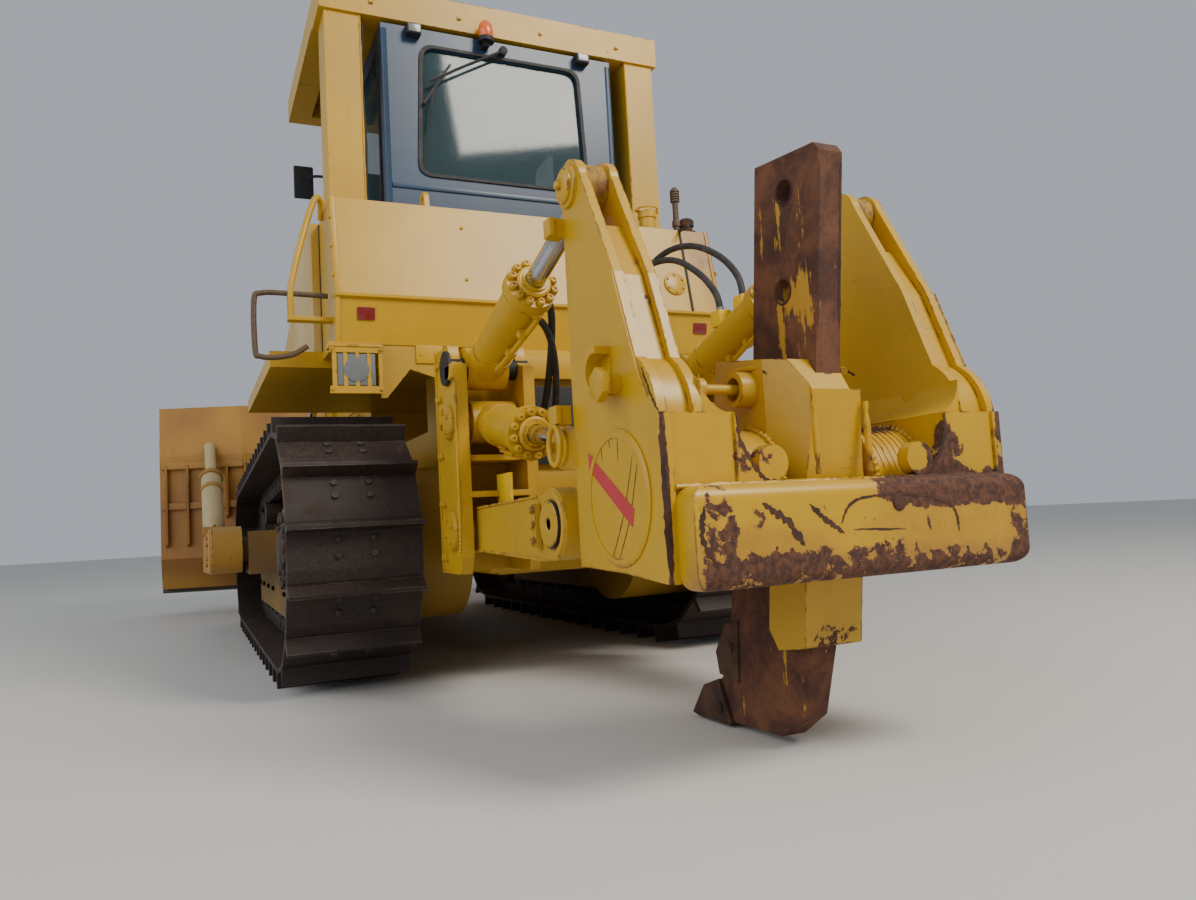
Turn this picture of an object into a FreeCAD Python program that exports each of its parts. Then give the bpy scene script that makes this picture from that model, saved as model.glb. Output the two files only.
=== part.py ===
import FreeCAD, Part
import Sketcher
import math
import os

# Large crawler bulldozer with a semi-U blade and a single-shank ripper.
# Millimetres. X runs forward, Y to the machine's left and Z up from the ground. The origin is on the ground
# under the middle of the machine. Stations along X are given from the sprocket axis, and at() moves them.

os.makedirs("parts", exist_ok=True)
doc = FreeCAD.newDocument("bulldozer")
sheet = doc.addObject("Spreadsheet::Sheet", "Sizes")


class Size:
    """A length in millimetres together with the expression that gives it."""

    def __init__(self, value, text):
        self.value = value
        self.text = text

    def __add__(self, other):
        other = size(other)
        return Size(self.value + other.value, f"({self.text} + {other.text})")

    def __sub__(self, other):
        other = size(other)
        return Size(self.value - other.value, f"({self.text} - {other.text})")

    def __mul__(self, factor):
        return Size(self.value * factor, f"({self.text} * {factor})")

    def __truediv__(self, factor):
        return Size(self.value / factor, f"({self.text} / {factor})")

    def __neg__(self):
        return Size(-self.value, f"(0 - {self.text})")

    def __radd__(self, other):
        return size(other) + self

    def __rsub__(self, other):
        return size(other) - self

    __rmul__ = __mul__


def size(length):
    """Give a plain number the same form as a size from the sheet."""
    if isinstance(length, Size):
        return length
    return Size(float(length), f"{float(length):.6f}" if length >= 0 else f"(0 - {-float(length):.6f})")


# Driving sizes: name, value
SIZES = (
    # whole machine
    ("sprocket_place", -1855.0),
    ("track_gauge", 2500.0),
    ("wheelbase", 3980.0),
    # track
    ("shoe_width", 710.0),
    ("link_pitch_radius", 607.0),
    ("idler_pitch_radius", 513.0),
    ("grouser_height", 93.0),
    ("shoe_thickness", 25.0),
    ("link_height", 130.0),
    ("shoe_lift", 70.0),
    ("strand_width", 75.0),
    ("strand_gap", 110.0),
    # running gear
    ("sprocket_thickness", 90.0),
    ("tooth_height", 70.0),
    ("drive_bore_radius", 200.0),
    ("roller_radius", 120.0),
    ("frame_half_width", 190.0),
    ("frame_wall", 25.0),
    # hull
    ("hull_half_width", 540.0),
    ("clearance_under_hull", 610.0),
    ("hood_half_width", 600.0),
    ("hood_top", 2720.0),
    ("guard_half_width", 650.0),
    ("hood_front", 4160.0),
    ("guard_depth", 560.0),
    # tank and side boxes
    ("tank_rear", 450.0),
    ("tank_depth", 560.0),
    ("fender_width", 440.0),
    ("tank_top", 2830.0),
    ("crease_rise", 275.0),
    ("tank_bottom", 1950.0),
    ("lug_side", 700.0),
    ("lug_bore", 25.0),
    # cab
    ("cab_rear", 160.0),
    ("cab_length", 2040.0),
    ("cab_bevel", 330.0),
    ("cab_half_width", 840.0),
    ("cab_floor", 2120.0),
    ("cab_top", 4240.0),
    ("cab_wall", 50.0),
    ("door_gap", 8.0),
    # roll-over structure
    ("post_outer", 1200.0),
    ("post_width", 230.0),
    ("roof_rise", 240.0),
    ("roof_rail", 180.0),
    # blade
    ("blade_half_width", 2347.0),
    ("blade_height", 2265.0),
    ("blade_raise", 250.0),
    ("wing_width", 900.0),
    ("wing_sweep", 320.0),
    ("blade_back", 5990.0),
    ("arm_inner", 1700.0),
    ("arm_width", 200.0),
    ("trunnion_place", 1600.0),
    ("trunnion_height", 800.0),
    ("blade_cylinder_radius", 88.0),
    ("blade_rod_radius", 50.0),
    ("blade_cylinder_side", 790.0),
    # ripper
    ("bracket_rear", 1230.0),
    ("bracket_top", 1810.0),
    ("beam_front", 2450.0),
    ("beam_rear", 3130.0),
    ("beam_half_width", 726.0),
    ("beam_bottom", 665.0),
    ("beam_top", 1200.0),
    ("side_plate", 36.0),
    ("horn_inner", 560.0),
    ("shoulder_inner", 452.0),
    ("horn_top", 2140.0),
    ("ear_radius", 100.0),
    ("tube_radius", 225.0),
    ("push_block_depth", 110.0),
    ("shank_thickness", 105.0),
    ("shank_depth", 385.0),
    ("shank_front", 2680.0),
    ("shank_mark", 1460.0),
    ("shank_top", 2190.0),
    ("hole_pitch", 360.0),
    ("slide_gap", 5.0),
    ("holder_side", 200.0),
    ("holder_foot_side", 125.0),
    ("raise_cylinder_radius", 102.0),
    ("tilt_cylinder_radius", 100.0),
    ("gland_rim", 21.0),
    ("ripper_rod_radius", 45.0),
    ("running_fit", 0.05),
    ("seat", 0.3),
    ("side_play", 5.0),
)

VALUES = {}
for row, (name, value) in enumerate(SIZES, start=1):
    sheet.set(f"A{row}", name)
    sheet.set(f"B{row}", str(value))
    sheet.setAlias(f"B{row}", name)
    VALUES[name] = Size(value, f"Sizes.{name}")
doc.recompute()


class Sheet:
    """The driving sizes as attributes."""

    def __getattr__(self, name):
        return VALUES[name]


S = Sheet()
nodes = []


def at(station):
    """Place along X of a station measured forward from the sprocket axis."""
    return S.sprocket_place + station


def bind(obj, path, length):
    """Bind one property to the sheet."""
    obj.setExpression(path, size(length).text)


def place(obj, x=0, y=0, z=0):
    """Bind the base point of an object."""
    for axis, length in zip("xyz", (x, y, z)):
        bind(obj, f"Placement.Base.{axis}", length)
    return obj


def block(x, y, z):
    """A box between two bounds on each axis."""
    box = doc.addObject("Part::Box", "Block")
    for name, (low, high) in zip(("Length", "Width", "Height"), (x, y, z)):
        bind(box, name, size(high) - low)
    return place(box, x[0], y[0], z[0])


def drum(axis, centre, radius, low, high):
    """A cylinder along X, Y or Z. Its centre gives the two places off the axis, in order."""
    cyl = doc.addObject("Part::Cylinder", "Drum")
    bind(cyl, "Radius", radius)
    bind(cyl, "Height", size(high) - low)
    turn = {"x": ((0, 1, 0), 90), "y": ((1, 0, 0), -90), "z": ((0, 0, 1), 0)}[axis]
    cyl.Placement = FreeCAD.Placement(FreeCAD.Vector(), FreeCAD.Rotation(FreeCAD.Vector(*turn[0]), turn[1]))
    first, second = centre
    where = {"x": (low, first, second), "y": (first, low, second), "z": (first, second, low)}[axis]
    return place(cyl, *where)


def plane_of(body, role):
    """One of a body's own origin planes."""
    return next(feature for feature in body.Origin.OriginFeatures if feature.Role == role)


def bound_sketch(body, role, outline):
    """A closed sketch through the outline's corners. A corner (x, y, r) starts an arc of radius r."""
    sketch = body.newObject("Sketcher::SketchObject", "Outline")
    sketch.AttachmentSupport = [(plane_of(body, role), "")]
    sketch.MapMode = "FlatFace"
    corners = [tuple(size(v) for v in corner) for corner in outline]
    count = len(corners)
    for i, corner in enumerate(corners):
        here = FreeCAD.Vector(corner[0].value, corner[1].value, 0)
        after = corners[(i + 1) % count]
        there = FreeCAD.Vector(after[0].value, after[1].value, 0)
        if len(corner) == 2:
            sketch.addGeometry(Part.LineSegment(here, there), False)
            continue
        radius = corner[2].value
        chord = there - here
        side = FreeCAD.Vector(-chord.y, chord.x, 0).normalize() * (1 if radius > 0 else -1)
        half = chord.Length / 2
        sagitta = abs(radius) - math.sqrt(max(radius * radius - half * half, 0.0))
        middle = (here + there) / 2 - side * sagitta
        sketch.addGeometry(Part.Arc(here, middle, there), False)
    starts = []
    for i, corner in enumerate(corners):
        curve = sketch.Geometry[i]
        here = FreeCAD.Vector(corner[0].value, corner[1].value, 0)
        first = 1
        if len(corner) == 3 and (curve.StartPoint - here).Length > (curve.EndPoint - here).Length:
            first = 2
        starts.append(first)
    for i, corner in enumerate(corners):
        nxt = (i + 1) % count
        sketch.addConstraint(Sketcher.Constraint("Coincident", i, 3 - starts[i], nxt, starts[nxt]))
        for kind, length in (("DistanceX", corner[0]), ("DistanceY", corner[1])):
            index = sketch.addConstraint(Sketcher.Constraint(kind, -1, 1, i, starts[i], length.value))
            sketch.setExpression(f"Constraints[{index}]", length.text)
        if len(corner) == 3:
            index = sketch.addConstraint(Sketcher.Constraint("Radius", i, abs(corner[2].value)))
            radius = corner[2] if corner[2].value > 0 else -corner[2]
            sketch.setExpression(f"Constraints[{index}]", radius.text)
    return sketch


def plate(outline, low, high, facing="y"):
    """A pad of an outline. facing gives the axis it is thick along: the outline's axes are the other two."""
    body = doc.addObject("PartDesign::Body", "Plate")
    role = {"x": "YZ_Plane", "y": "XZ_Plane", "z": "XY_Plane"}[facing]
    sketch = bound_sketch(body, role, outline)
    pad = body.newObject("PartDesign::Pad", "Pad")
    pad.Profile = sketch
    bind(pad, "Length", size(high) - low)
    if facing == "y":
        place(body, 0, high, 0)
    elif facing == "x":
        place(body, low, 0, 0)
    else:
        place(body, 0, 0, low)
    return body


def turned(profile, base, direction):
    """A revolved piece. The profile's corners are (along, radius) from the base point in the direction."""
    body = doc.addObject("PartDesign::Body", "Turned")
    sketch = bound_sketch(body, "XY_Plane", profile)
    revolution = body.newObject("PartDesign::Revolution", "Revolution")
    revolution.Profile = sketch
    revolution.ReferenceAxis = (sketch, ["H_Axis"])
    revolution.Angle = 360
    spin = FreeCAD.Rotation(FreeCAD.Vector(1, 0, 0), FreeCAD.Vector(*direction))
    body.Placement = FreeCAD.Placement(FreeCAD.Vector(), spin)
    return place(body, *base)


def solid_profile(*steps):
    """Close a stepped profile (along, radius) down to the axis."""
    first, last = steps[0], steps[-1]
    return [(first[0], 0), *steps, (last[0], 0)]


def fuse(*shapes):
    """Join pieces into one."""
    if len(shapes) == 1:
        return shapes[0]
    joined = doc.addObject("Part::MultiFuse", "Joined")
    joined.Shapes = list(shapes)
    joined.Refine = True
    return joined


def cut(base, *tools):
    """Take one or more tools away from a piece."""
    result = doc.addObject("Part::Cut", "Cut")
    result.Base = base
    result.Tool = fuse(*tools)
    result.Refine = True
    return result


def together(*shapes):
    """Hold solids that do not touch as one node."""
    group = doc.addObject("Part::Compound", "Group")
    group.Links = list(shapes)
    return group


def other_side(shape):
    """The same piece on the machine's right."""
    mirror = doc.addObject("Part::Mirroring", "Right")
    mirror.Source = shape
    mirror.Normal = (0, 1, 0)
    return mirror


def both(shape):
    """A piece and its mirror image, as one node."""
    return together(shape, other_side(shape))


def node(label, shape):
    """Name a finished piece."""
    shape.Label = label
    nodes.append(shape)
    return shape


# Half width of the tank and the side boxes, and the top of the roll-over structure
TANK_HALF = S.cab_half_width + S.fender_width
ROOF_TOP = S.cab_top + S.roof_rise

# Places of the pivots: stations from the sprocket axis, turned into X with at(), and heights
SPROCKET = (at(0), S.link_pitch_radius + S.grouser_height + S.shoe_lift + S.shoe_thickness)
IDLER = (at(S.wheelbase), S.idler_pitch_radius + S.grouser_height + S.shoe_lift + S.shoe_thickness)
SIDE = S.track_gauge / 2
TRUNNION = (at(S.trunnion_place), S.trunnion_height)
GUARD_FRONT = at(S.hood_front + S.guard_depth)
LIFT_YOKE = (GUARD_FRONT - 320, size(2450))
BLADE_EYE = (at(5880), size(1000))
ARM_FRONT = (at(-1100), size(860))
ARM_REAR = (at(-2220), size(868))
TILT_BASE = (at(-1100), size(1690))
HORN_PIN = (at(-2520), S.horn_top)
RAISE_BASE = (at(-1100), size(1412))
RAISE_EYE = (at(-2320), size(1165))
PIN_PLACE = (at(-2850), size(1315))
TUBE_CENTRE = (at(-2804), size(946))
STUD_PLACE = (at(-2780), size(1385))


def track(side):
    """One track: a closed belt of shoes with single grousers, fused to two strands of links."""
    big, small = S.link_pitch_radius.value, S.idler_pitch_radius.value
    rear = FreeCAD.Vector(SPROCKET[0].value, 0, SPROCKET[1].value)
    front = FreeCAD.Vector(IDLER[0].value, 0, IDLER[1].value)
    span = front - rear
    # The upper run touches both circles on top: its outward direction leans by the drop between the axes.
    lean = math.atan2(-span.z, span.x)
    rise = math.asin((big - small) / span.Length)
    upper = math.pi / 2 - lean - rise
    run = math.sqrt(span.Length ** 2 - (big - small) ** 2)
    wraps = (big * (2 * math.pi - (upper + math.pi / 2)), small * (upper + math.pi / 2))
    links = round((2 * run + sum(wraps)) / LINK_PITCH)
    total = 2 * run + sum(wraps)

    def station(distance):
        """Point of the pin path at a distance from the bottom of the sprocket, going forward."""
        distance %= total
        if distance < run:
            return FreeCAD.Vector(rear.x + distance, 0, rear.z - big)
        distance -= run
        if distance < wraps[1]:
            angle = -math.pi / 2 + distance / small
            return front + FreeCAD.Vector(math.cos(angle), 0, math.sin(angle)) * small
        distance -= wraps[1]
        if distance < run:
            share = distance / run
            normal = FreeCAD.Vector(math.cos(upper), 0, math.sin(upper))
            return (front + normal * small) * (1 - share) + (rear + normal * big) * share
        distance -= run
        angle = upper + distance / big
        return rear + FreeCAD.Vector(math.cos(angle), 0, math.sin(angle)) * big

    pins = [station(total * i / links) for i in range(links)]
    reach = S.shoe_lift.value + S.shoe_thickness.value
    tip = reach + S.grouser_height.value
    # Shoe outline: share of the pitch along the link, height above the pin line
    shoe = ((0.04, reach), (0.10, reach), (0.14, tip), (0.22, tip), (0.27, reach), (0.97, reach))
    belt_outer, belt_inner, link_outer, link_inner = [], [], [], []
    for i, here in enumerate(pins):
        there = pins[(i + 1) % links]
        before = pins[i - 1]
        along = there - here
        out = FreeCAD.Vector(along.z, 0, -along.x).normalize()
        bisector = FreeCAD.Vector((there - before).z, 0, -(there - before).x).normalize()
        belt_outer += [here + along * share + out * height for share, height in shoe]
        belt_inner.append(here + bisector * S.shoe_lift.value)
        link_outer.append(here + bisector * (S.shoe_lift.value + S.shoe_thickness.value / 2))
        link_inner.append(here + bisector * (S.shoe_lift.value - S.link_height.value))

    def loop(outer, inner, low, high):
        """Extrude the band between two closed lines across the track."""
        rings = []
        for points in (outer, inner):
            moved = [p + FreeCAD.Vector(0, low, 0) for p in points]
            rings.append(Part.makePolygon(moved + moved[:1]))
        face = Part.makeFace(rings, "Part::FaceMakerBullseye")
        return face.extrude(FreeCAD.Vector(0, high - low, 0))

    middle = SIDE.value * side
    half = S.shoe_width.value / 2
    belt = loop(belt_outer, belt_inner, middle - half, middle + half)
    near, far = S.strand_gap.value / 2, S.strand_gap.value / 2 + S.strand_width.value
    strands = []
    for low, high in ((near, far), (-far, -near)):
        strands.append(loop(link_outer, link_inner, middle + low, middle + high))
    feature = doc.addObject("Part::Feature", "Track")
    feature.Shape = belt.fuse(strands)
    return feature


LINK_PITCH = 280.0
SPROCKET_TEETH = 27

for name, side in (("track_left", 1), ("track_right", -1)):
    node(name, track(side))


def sprocket():
    """Toothed disc between the link strands, bored for the final drive."""
    body = doc.addObject("PartDesign::Body", "Sprocket")
    sketch = body.newObject("Sketcher::SketchObject", "Disc")
    sketch.AttachmentSupport = [(plane_of(body, "XZ_Plane"), "")]
    sketch.MapMode = "FlatFace"
    root = S.link_pitch_radius - S.tooth_height / 2
    for i, radius in enumerate((root, S.drive_bore_radius + S.running_fit)):
        sketch.addGeometry(Part.Circle(FreeCAD.Vector(), FreeCAD.Vector(0, 0, 1), radius.value), False)
        sketch.addConstraint(Sketcher.Constraint("Coincident", i, 3, -1, 1))
        index = sketch.addConstraint(Sketcher.Constraint("Radius", i, radius.value))
        sketch.setExpression(f"Constraints[{index}]", radius.text)
    disc = body.newObject("PartDesign::Pad", "DiscPad")
    disc.Profile = sketch
    bind(disc, "Length", S.sprocket_thickness)
    foot = root - 12
    tip = root + S.tooth_height
    tooth_sketch = bound_sketch(body, "XZ_Plane", ((foot, -48), (tip, -18), (tip, 18), (foot, 48)))
    tooth = body.newObject("PartDesign::Pad", "Tooth")
    tooth.Profile = tooth_sketch
    bind(tooth, "Length", S.sprocket_thickness)
    doc.recompute()
    teeth = body.newObject("PartDesign::PolarPattern", "Teeth")
    teeth.Originals = [tooth]
    teeth.Axis = (plane_of(body, "Y_Axis"), [""])
    teeth.Angle = 360
    teeth.Occurrences = SPROCKET_TEETH
    body.Tip = teeth
    return place(body, SPROCKET[0], SIDE + S.sprocket_thickness / 2, SPROCKET[1])


node("sprockets", both(sprocket()))

# Final drives: case beside the hull, shaft through the sprocket, outer hub
half_disc = S.sprocket_thickness / 2
drive_base = S.hull_half_width + S.seat
reach_in = SIDE - half_disc - drive_base
reach_out = SIDE + half_disc - drive_base
drive_profile = solid_profile(
    (0, 460), (reach_in, 460), (reach_in, S.drive_bore_radius), (reach_out, S.drive_bore_radius),
    (reach_out, 330), (reach_out + 185, 330), (reach_out + 255, 240),
)
drive = turned(drive_profile, (SPROCKET[0], drive_base, SPROCKET[1]), (0, 1, 0))
node("final_drives", both(drive))

# Idlers: two treads under the links and a guide rim between the strands
rail = S.link_height - S.shoe_lift
# The links lie across the idler as chords, so the tread is lower than their corners
chord = math.cos(LINK_PITCH / S.idler_pitch_radius.value / 2)
tread = (S.idler_pitch_radius - rail) * chord - 0.5
tread_half = S.strand_gap / 2 + S.strand_width
frame_inside = S.frame_half_width - S.frame_wall
rim = S.strand_gap / 2 - 8
idler_profile = solid_profile(
    (-frame_inside + S.seat, 70), (-tread_half + 20, 130), (-tread_half, tread - 50), (-tread_half, tread),
    (-rim, tread), (-rim, tread + 35), (rim, tread + 35), (rim, tread), (tread_half, tread),
    (tread_half, tread - 50), (tread_half - 20, 130), (frame_inside - S.seat, 70),
)
node("idlers", both(turned(idler_profile, (IDLER[0], SIDE, IDLER[1]), (0, 1, 0))))

# Rollers: stations of the bottom rollers and the carrier rollers
BOTTOM_ROLLERS = (640, 1060, 1480, 1900, 2320, 2740, 3150, 3440)
CARRIER_ROLLERS = (1250, 3150)
chain_top = S.grouser_height + S.shoe_thickness + S.link_height
roller_half = frame_inside - S.seat
rollers = []
for station in BOTTOM_ROLLERS:
    height = chain_top + S.roller_radius + S.seat
    rollers.append(both(drum("y", (at(station), height), S.roller_radius, SIDE - roller_half, SIDE + roller_half)))


def upper_run(station):
    """Height of the inside of the upper links at a station from the sprocket axis."""
    drop = (S.link_pitch_radius - S.idler_pitch_radius) * 2
    start = SPROCKET[1] + S.link_pitch_radius
    slope = drop.value / S.wheelbase.value
    return start - station * slope - rail


carrier_radius = 100
for station in CARRIER_ROLLERS:
    height = upper_run(station) - carrier_radius
    wheel = drum("y", (at(station), height), carrier_radius, SIDE - frame_inside, SIDE + tread_half + 30)
    stalk = block(
        (at(station - 60), at(station + 60)),
        (SIDE - frame_inside - 40, SIDE - frame_inside),
        (size(860), height + 70),
    )
    rollers.append(both(fuse(wheel, stalk)))
node("track_rollers", together(*rollers))


def track_frame():
    """Box beam over the rollers with guard plates, an idler fork and the outer trunnion bracket."""
    inner, outer = SIDE - S.frame_half_width, SIDE + S.frame_half_width
    top, roof, skirt = size(860), size(540), size(300)
    beam = plate(
        (
            (inner, skirt), (inner + S.frame_wall, skirt), (inner + S.frame_wall, roof),
            (outer - S.frame_wall, roof), (outer - S.frame_wall, skirt), (outer, skirt), (outer, top),
            (inner, top),
        ),
        at(670), at(3490), "x",
    )
    forks = []
    for low in (inner, outer - S.frame_wall):
        forks.append(plate(
            (
                (at(3450), 560), (at(3900), 560), (at(4120), 640), (at(4120), 770), (at(3900), 860),
                (at(3450), 860),
            ),
            low, low + S.frame_wall,
        ))
    arm = plate(
        (
            (TRUNNION[0] - 230, 620), (TRUNNION[0] + 230, 620), (TRUNNION[0] + 130, 930),
            (TRUNNION[0] - 130, 930),
        ),
        outer - 10, S.arm_inner - 40,
    )
    pin = drum("y", TRUNNION, 90, outer, S.arm_inner + S.arm_width + 30)
    return fuse(beam, *forks, arm, pin)


node("track_frames", both(track_frame()))

# Hull: main frame and steering case in one side outline, with the guard plates under it
hull_outline = (
    (at(-850), 700), (at(-740), S.clearance_under_hull), (at(2520), S.clearance_under_hull), (at(2520), 1060),
    (at(2880), 1060), (at(2880), S.clearance_under_hull), (at(4180), 640), (at(4340), 760), (at(4340), 1230),
    (at(1450), 1230), (at(1450), 1540), (at(520), 1540), (at(520), 1899.7), (at(-640), 1899.7),
    (at(-850), 1760),
)
belly = S.clearance_under_hull
node("hull", fuse(
    plate(hull_outline, -S.hull_half_width, S.hull_half_width),
    block((at(-600), at(2500)), (-440, 440), (belly - 20, belly + 1)),
    block((at(2900), at(4100)), (-440, 440), (belly - 20, belly + 40)),
))
bar_half = 130
equalizer = plate(
    (
        (-SIDE - 120, 860.3), (SIDE + 120, 860.3), (SIDE + 120, 940), (760, 1050), (-760, 1050),
        (-SIDE - 120, 940),
    ),
    at(2700 - bar_half), at(2700 + bar_half), "x",
)
pivot_bar = drum(
    "y", (at(780), size(700)), 95, S.hull_half_width + S.seat, SIDE - S.frame_half_width - S.seat,
)
node("pivot_bars", together(equalizer, both(pivot_bar)))
node("engine", block((at(2330), at(3800)), (-420, 420), (1230.3, 2250)))


HOOD_REAR = 2240
DOOR_REAR, DOOR_FRONT = 2300, 3400
DOOR_SILL = 1510
ENGINE_HINGES = (1650, 2250)
PANEL_FOOT, PANEL_TOP = size(1230.3), size(2419.7)


def hood():
    """Sheet roof over the engine with sloping shoulders, open below."""
    half, top = S.hood_half_width, S.hood_top
    outline = (
        (-half, 2420), (-half, top - 90), (-half + 90, top), (half - 90, top), (half, top - 90), (half, 2420),
        (half - 40, 2420), (half - 40, top - 110), (half - 110, top - 40), (-half + 110, top - 40),
        (-half + 40, top - 110), (-half + 40, 2420),
    )
    return plate(outline, at(HOOD_REAR), at(S.hood_front), "x")


node("hood", hood())
panel_sheet = (S.hood_half_width - 40, S.hood_half_width)
panel = block((at(DOOR_FRONT), at(S.hood_front)), panel_sheet, (PANEL_FOOT, PANEL_TOP))
sill = block((at(DOOR_REAR), at(DOOR_FRONT)), panel_sheet, (PANEL_FOOT, DOOR_SILL))
pillar = block((at(HOOD_REAR), at(DOOR_REAR)), panel_sheet, (PANEL_FOOT, PANEL_TOP))
side_panel = fuse(panel, sill, pillar)
knuckles = []
for z in ENGINE_HINGES:
    for low in (z - 60.3, z + 30.3):
        knuckles.append(drum("z", (at(DOOR_REAR), S.hood_half_width + 15), 14, low, size(low) + 30))
        knuckles.append(block(
            (at(DOOR_REAR - 18), at(DOOR_REAR - 1)), (S.hood_half_width - 5, S.hood_half_width + 15),
            (low, size(low) + 30),
        ))
side_panel = fuse(side_panel, *knuckles)
node("engine_panels", fuse(side_panel, other_side(side_panel), block(
    (at(HOOD_REAR), at(HOOD_REAR + 20)), (-S.hood_half_width + 39, S.hood_half_width - 39),
    (PANEL_FOOT, PANEL_TOP),
)))
door_span = (at(DOOR_REAR) + S.door_gap, at(DOOR_FRONT) - S.door_gap)
door_height = (DOOR_SILL + S.door_gap, PANEL_TOP - S.door_gap)
for name, side in (("engine_door_left", 1), ("engine_door_right", -1)):
    door = block(door_span, panel_sheet, door_height)
    for z in ENGINE_HINGES:
        door = fuse(
            door,
            drum("z", (at(DOOR_REAR), S.hood_half_width + 15), 14, z - 30, z + 30),
            block(
                (at(DOOR_REAR), at(DOOR_REAR + 40)), (S.hood_half_width - 1, S.hood_half_width + 8),
                (z - 30, z + 30),
            ),
        )
    node(name, door if side > 0 else other_side(door))

# Radiator guard: open frame with a barred grille in front
guard = cut(
    plate(
        (
            (at(S.hood_front) + S.seat, PANEL_FOOT), (GUARD_FRONT, PANEL_FOOT), (GUARD_FRONT, 2560),
            (GUARD_FRONT - 90, 2660), (at(S.hood_front) + S.seat, 2700),
        ),
        -S.guard_half_width, S.guard_half_width,
    ),
    block(
        (GUARD_FRONT - S.guard_depth + 140, GUARD_FRONT + 100),
        (-S.guard_half_width + 70, S.guard_half_width - 70), (1330, 2520),
    ),
)
yoke = cut(
    block(
        (LIFT_YOKE[0] - 95, LIFT_YOKE[0] + 95),
        (S.guard_half_width - 1, S.guard_half_width + 40),
        (LIFT_YOKE[1] - 110, LIFT_YOKE[1] + 110),
    ),
    drum("y", LIFT_YOKE, size(45) + S.running_fit, S.guard_half_width + 10, S.guard_half_width + 60),
)
node("radiator_guard", fuse(guard, yoke, other_side(yoke)))
bars = []
BAR_COUNT = 15
for i in range(BAR_COUNT):
    height = 1335 + i * (1180 - 40) / (BAR_COUNT - 1)
    bars.append(block(
        (GUARD_FRONT - 70, GUARD_FRONT - 30),
        (-S.guard_half_width + 70.3, S.guard_half_width - 70.3),
        (height, height + 40),
    ))
for centre in (-520, 0, 520):
    bars.append(block((GUARD_FRONT - 66, GUARD_FRONT - 34), (centre - 30, centre + 30), (1335, 2515)))
node("radiator_grille", fuse(*bars))

# Stacks on the hood
exhaust = fuse(
    drum("z", (at(3050), size(-180)), 75, S.hood_top + 0.3, S.hood_top + 780),
    drum("z", (at(3050), size(-180)), 110, S.hood_top + 0.3, S.hood_top + 120),
)
intake = fuse(
    drum("z", (at(2560), size(220)), 90, S.hood_top + 0.3, S.hood_top + 420),
    drum("z", (at(2560), size(220)), 170, S.hood_top + 400, S.hood_top + 620),
)
node("stacks", together(exhaust, intake))


def fuel_tank():
    """Tank whose rear face leans forward above and below its crease."""
    rear = -S.tank_rear
    outline = (
        (at(0) + rear + 45, S.tank_bottom), (at(0) + rear + S.tank_depth, S.tank_bottom),
        (at(0) + rear + S.tank_depth, S.tank_top - 20), (at(0) + rear + 120, S.tank_top),
        (at(0) + rear, S.tank_bottom + S.crease_rise),
    )
    return plate(outline, -TANK_HALF, TANK_HALF)


LIFT_EYE = (at(-265), S.tank_top + 55)
lug_outline = (
    (at(-325), S.tank_top - 5), (at(-205), S.tank_top - 5), (at(-215), S.tank_top + 75),
    (at(-240), S.tank_top + 100), (at(-290), S.tank_top + 100), (at(-315), S.tank_top + 75),
)
tank_lug = cut(
    plate(lug_outline, S.lug_side - 15, S.lug_side + 15),
    drum("y", LIFT_EYE, S.lug_bore, S.lug_side - 20, S.lug_side + 20),
)
node("fuel_tank", fuse(fuel_tank(), tank_lug, other_side(tank_lug)))
tank_front = at(0) - S.tank_rear + S.tank_depth
box_top = S.tank_top - 20
box_outline = (
    (tank_front + S.seat, 1999.3), (at(2180), 1999.3), (at(2180), 2230), (at(1130), 2590), (at(780), box_top),
    (tank_front + S.seat, box_top),
)
node("side_boxes", both(plate(box_outline, S.cab_half_width + 60, TANK_HALF + 50)))

# Deck over the tracks: it carries the tank, the side boxes and the cab on its mounts
deck = [
    block((at(-369.7), at(2240)), (-700, 700), (1900, 1949.7)),
    block((tank_front + S.seat, at(2240)), (-SIDE - 340, SIDE + 340), (1900, 1999)),
]
for station in (300, 1750):
    for y in (-600, 600):
        deck.append(drum("z", (at(station), size(y)), 95, 1990, S.cab_floor - S.seat))

# Lamps with barred guards stand left and right under the tank, at the fender panels' ends
lamp_foot, lamp_head = S.tank_bottom - 295, S.tank_bottom - 25
lamp_inner, lamp_outer = TANK_HALF - 245, TANK_HALF + 45

# Rear fender panels under the tank with their arch cut
panel_end = lamp_inner - S.side_play
panel_side = panel_end - 450
panel_top = S.tank_bottom - S.seat
rear_panel = plate(
    (
        (panel_side, panel_top - 390), (panel_side + 20, panel_top - 310), (panel_side + 120, panel_top - 190),
        (panel_side + 280, panel_top - 140), (panel_end - 30, panel_top - 310), (panel_end, panel_top - 310),
        (panel_end, panel_top), (panel_side, panel_top),
    ),
    at(-400), at(-369), "x",
)
node("deck", fuse(*deck, rear_panel, other_side(rear_panel)))

guard_bars = []
for height in (lamp_foot, lamp_head - 40):
    guard_bars.append(block((at(-480), at(-455)), (lamp_inner, lamp_outer), (height, height + 40)))
for across in (0, 65, 130, 195, 255):
    guard_bars.append(block(
        (at(-478), at(-457)), (lamp_inner + across, lamp_inner + across + 22), (lamp_foot, lamp_head),
    ))
housing = block((at(-460), at(-330)), (lamp_inner + 40, lamp_outer - 40), (lamp_foot + 45, lamp_head - 45))
bracket = block((at(-460), at(-330)), (lamp_inner, lamp_outer), (lamp_head - 3, S.tank_bottom - S.seat))
node("lamp_guards", both(fuse(*guard_bars, housing, bracket)))


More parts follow.
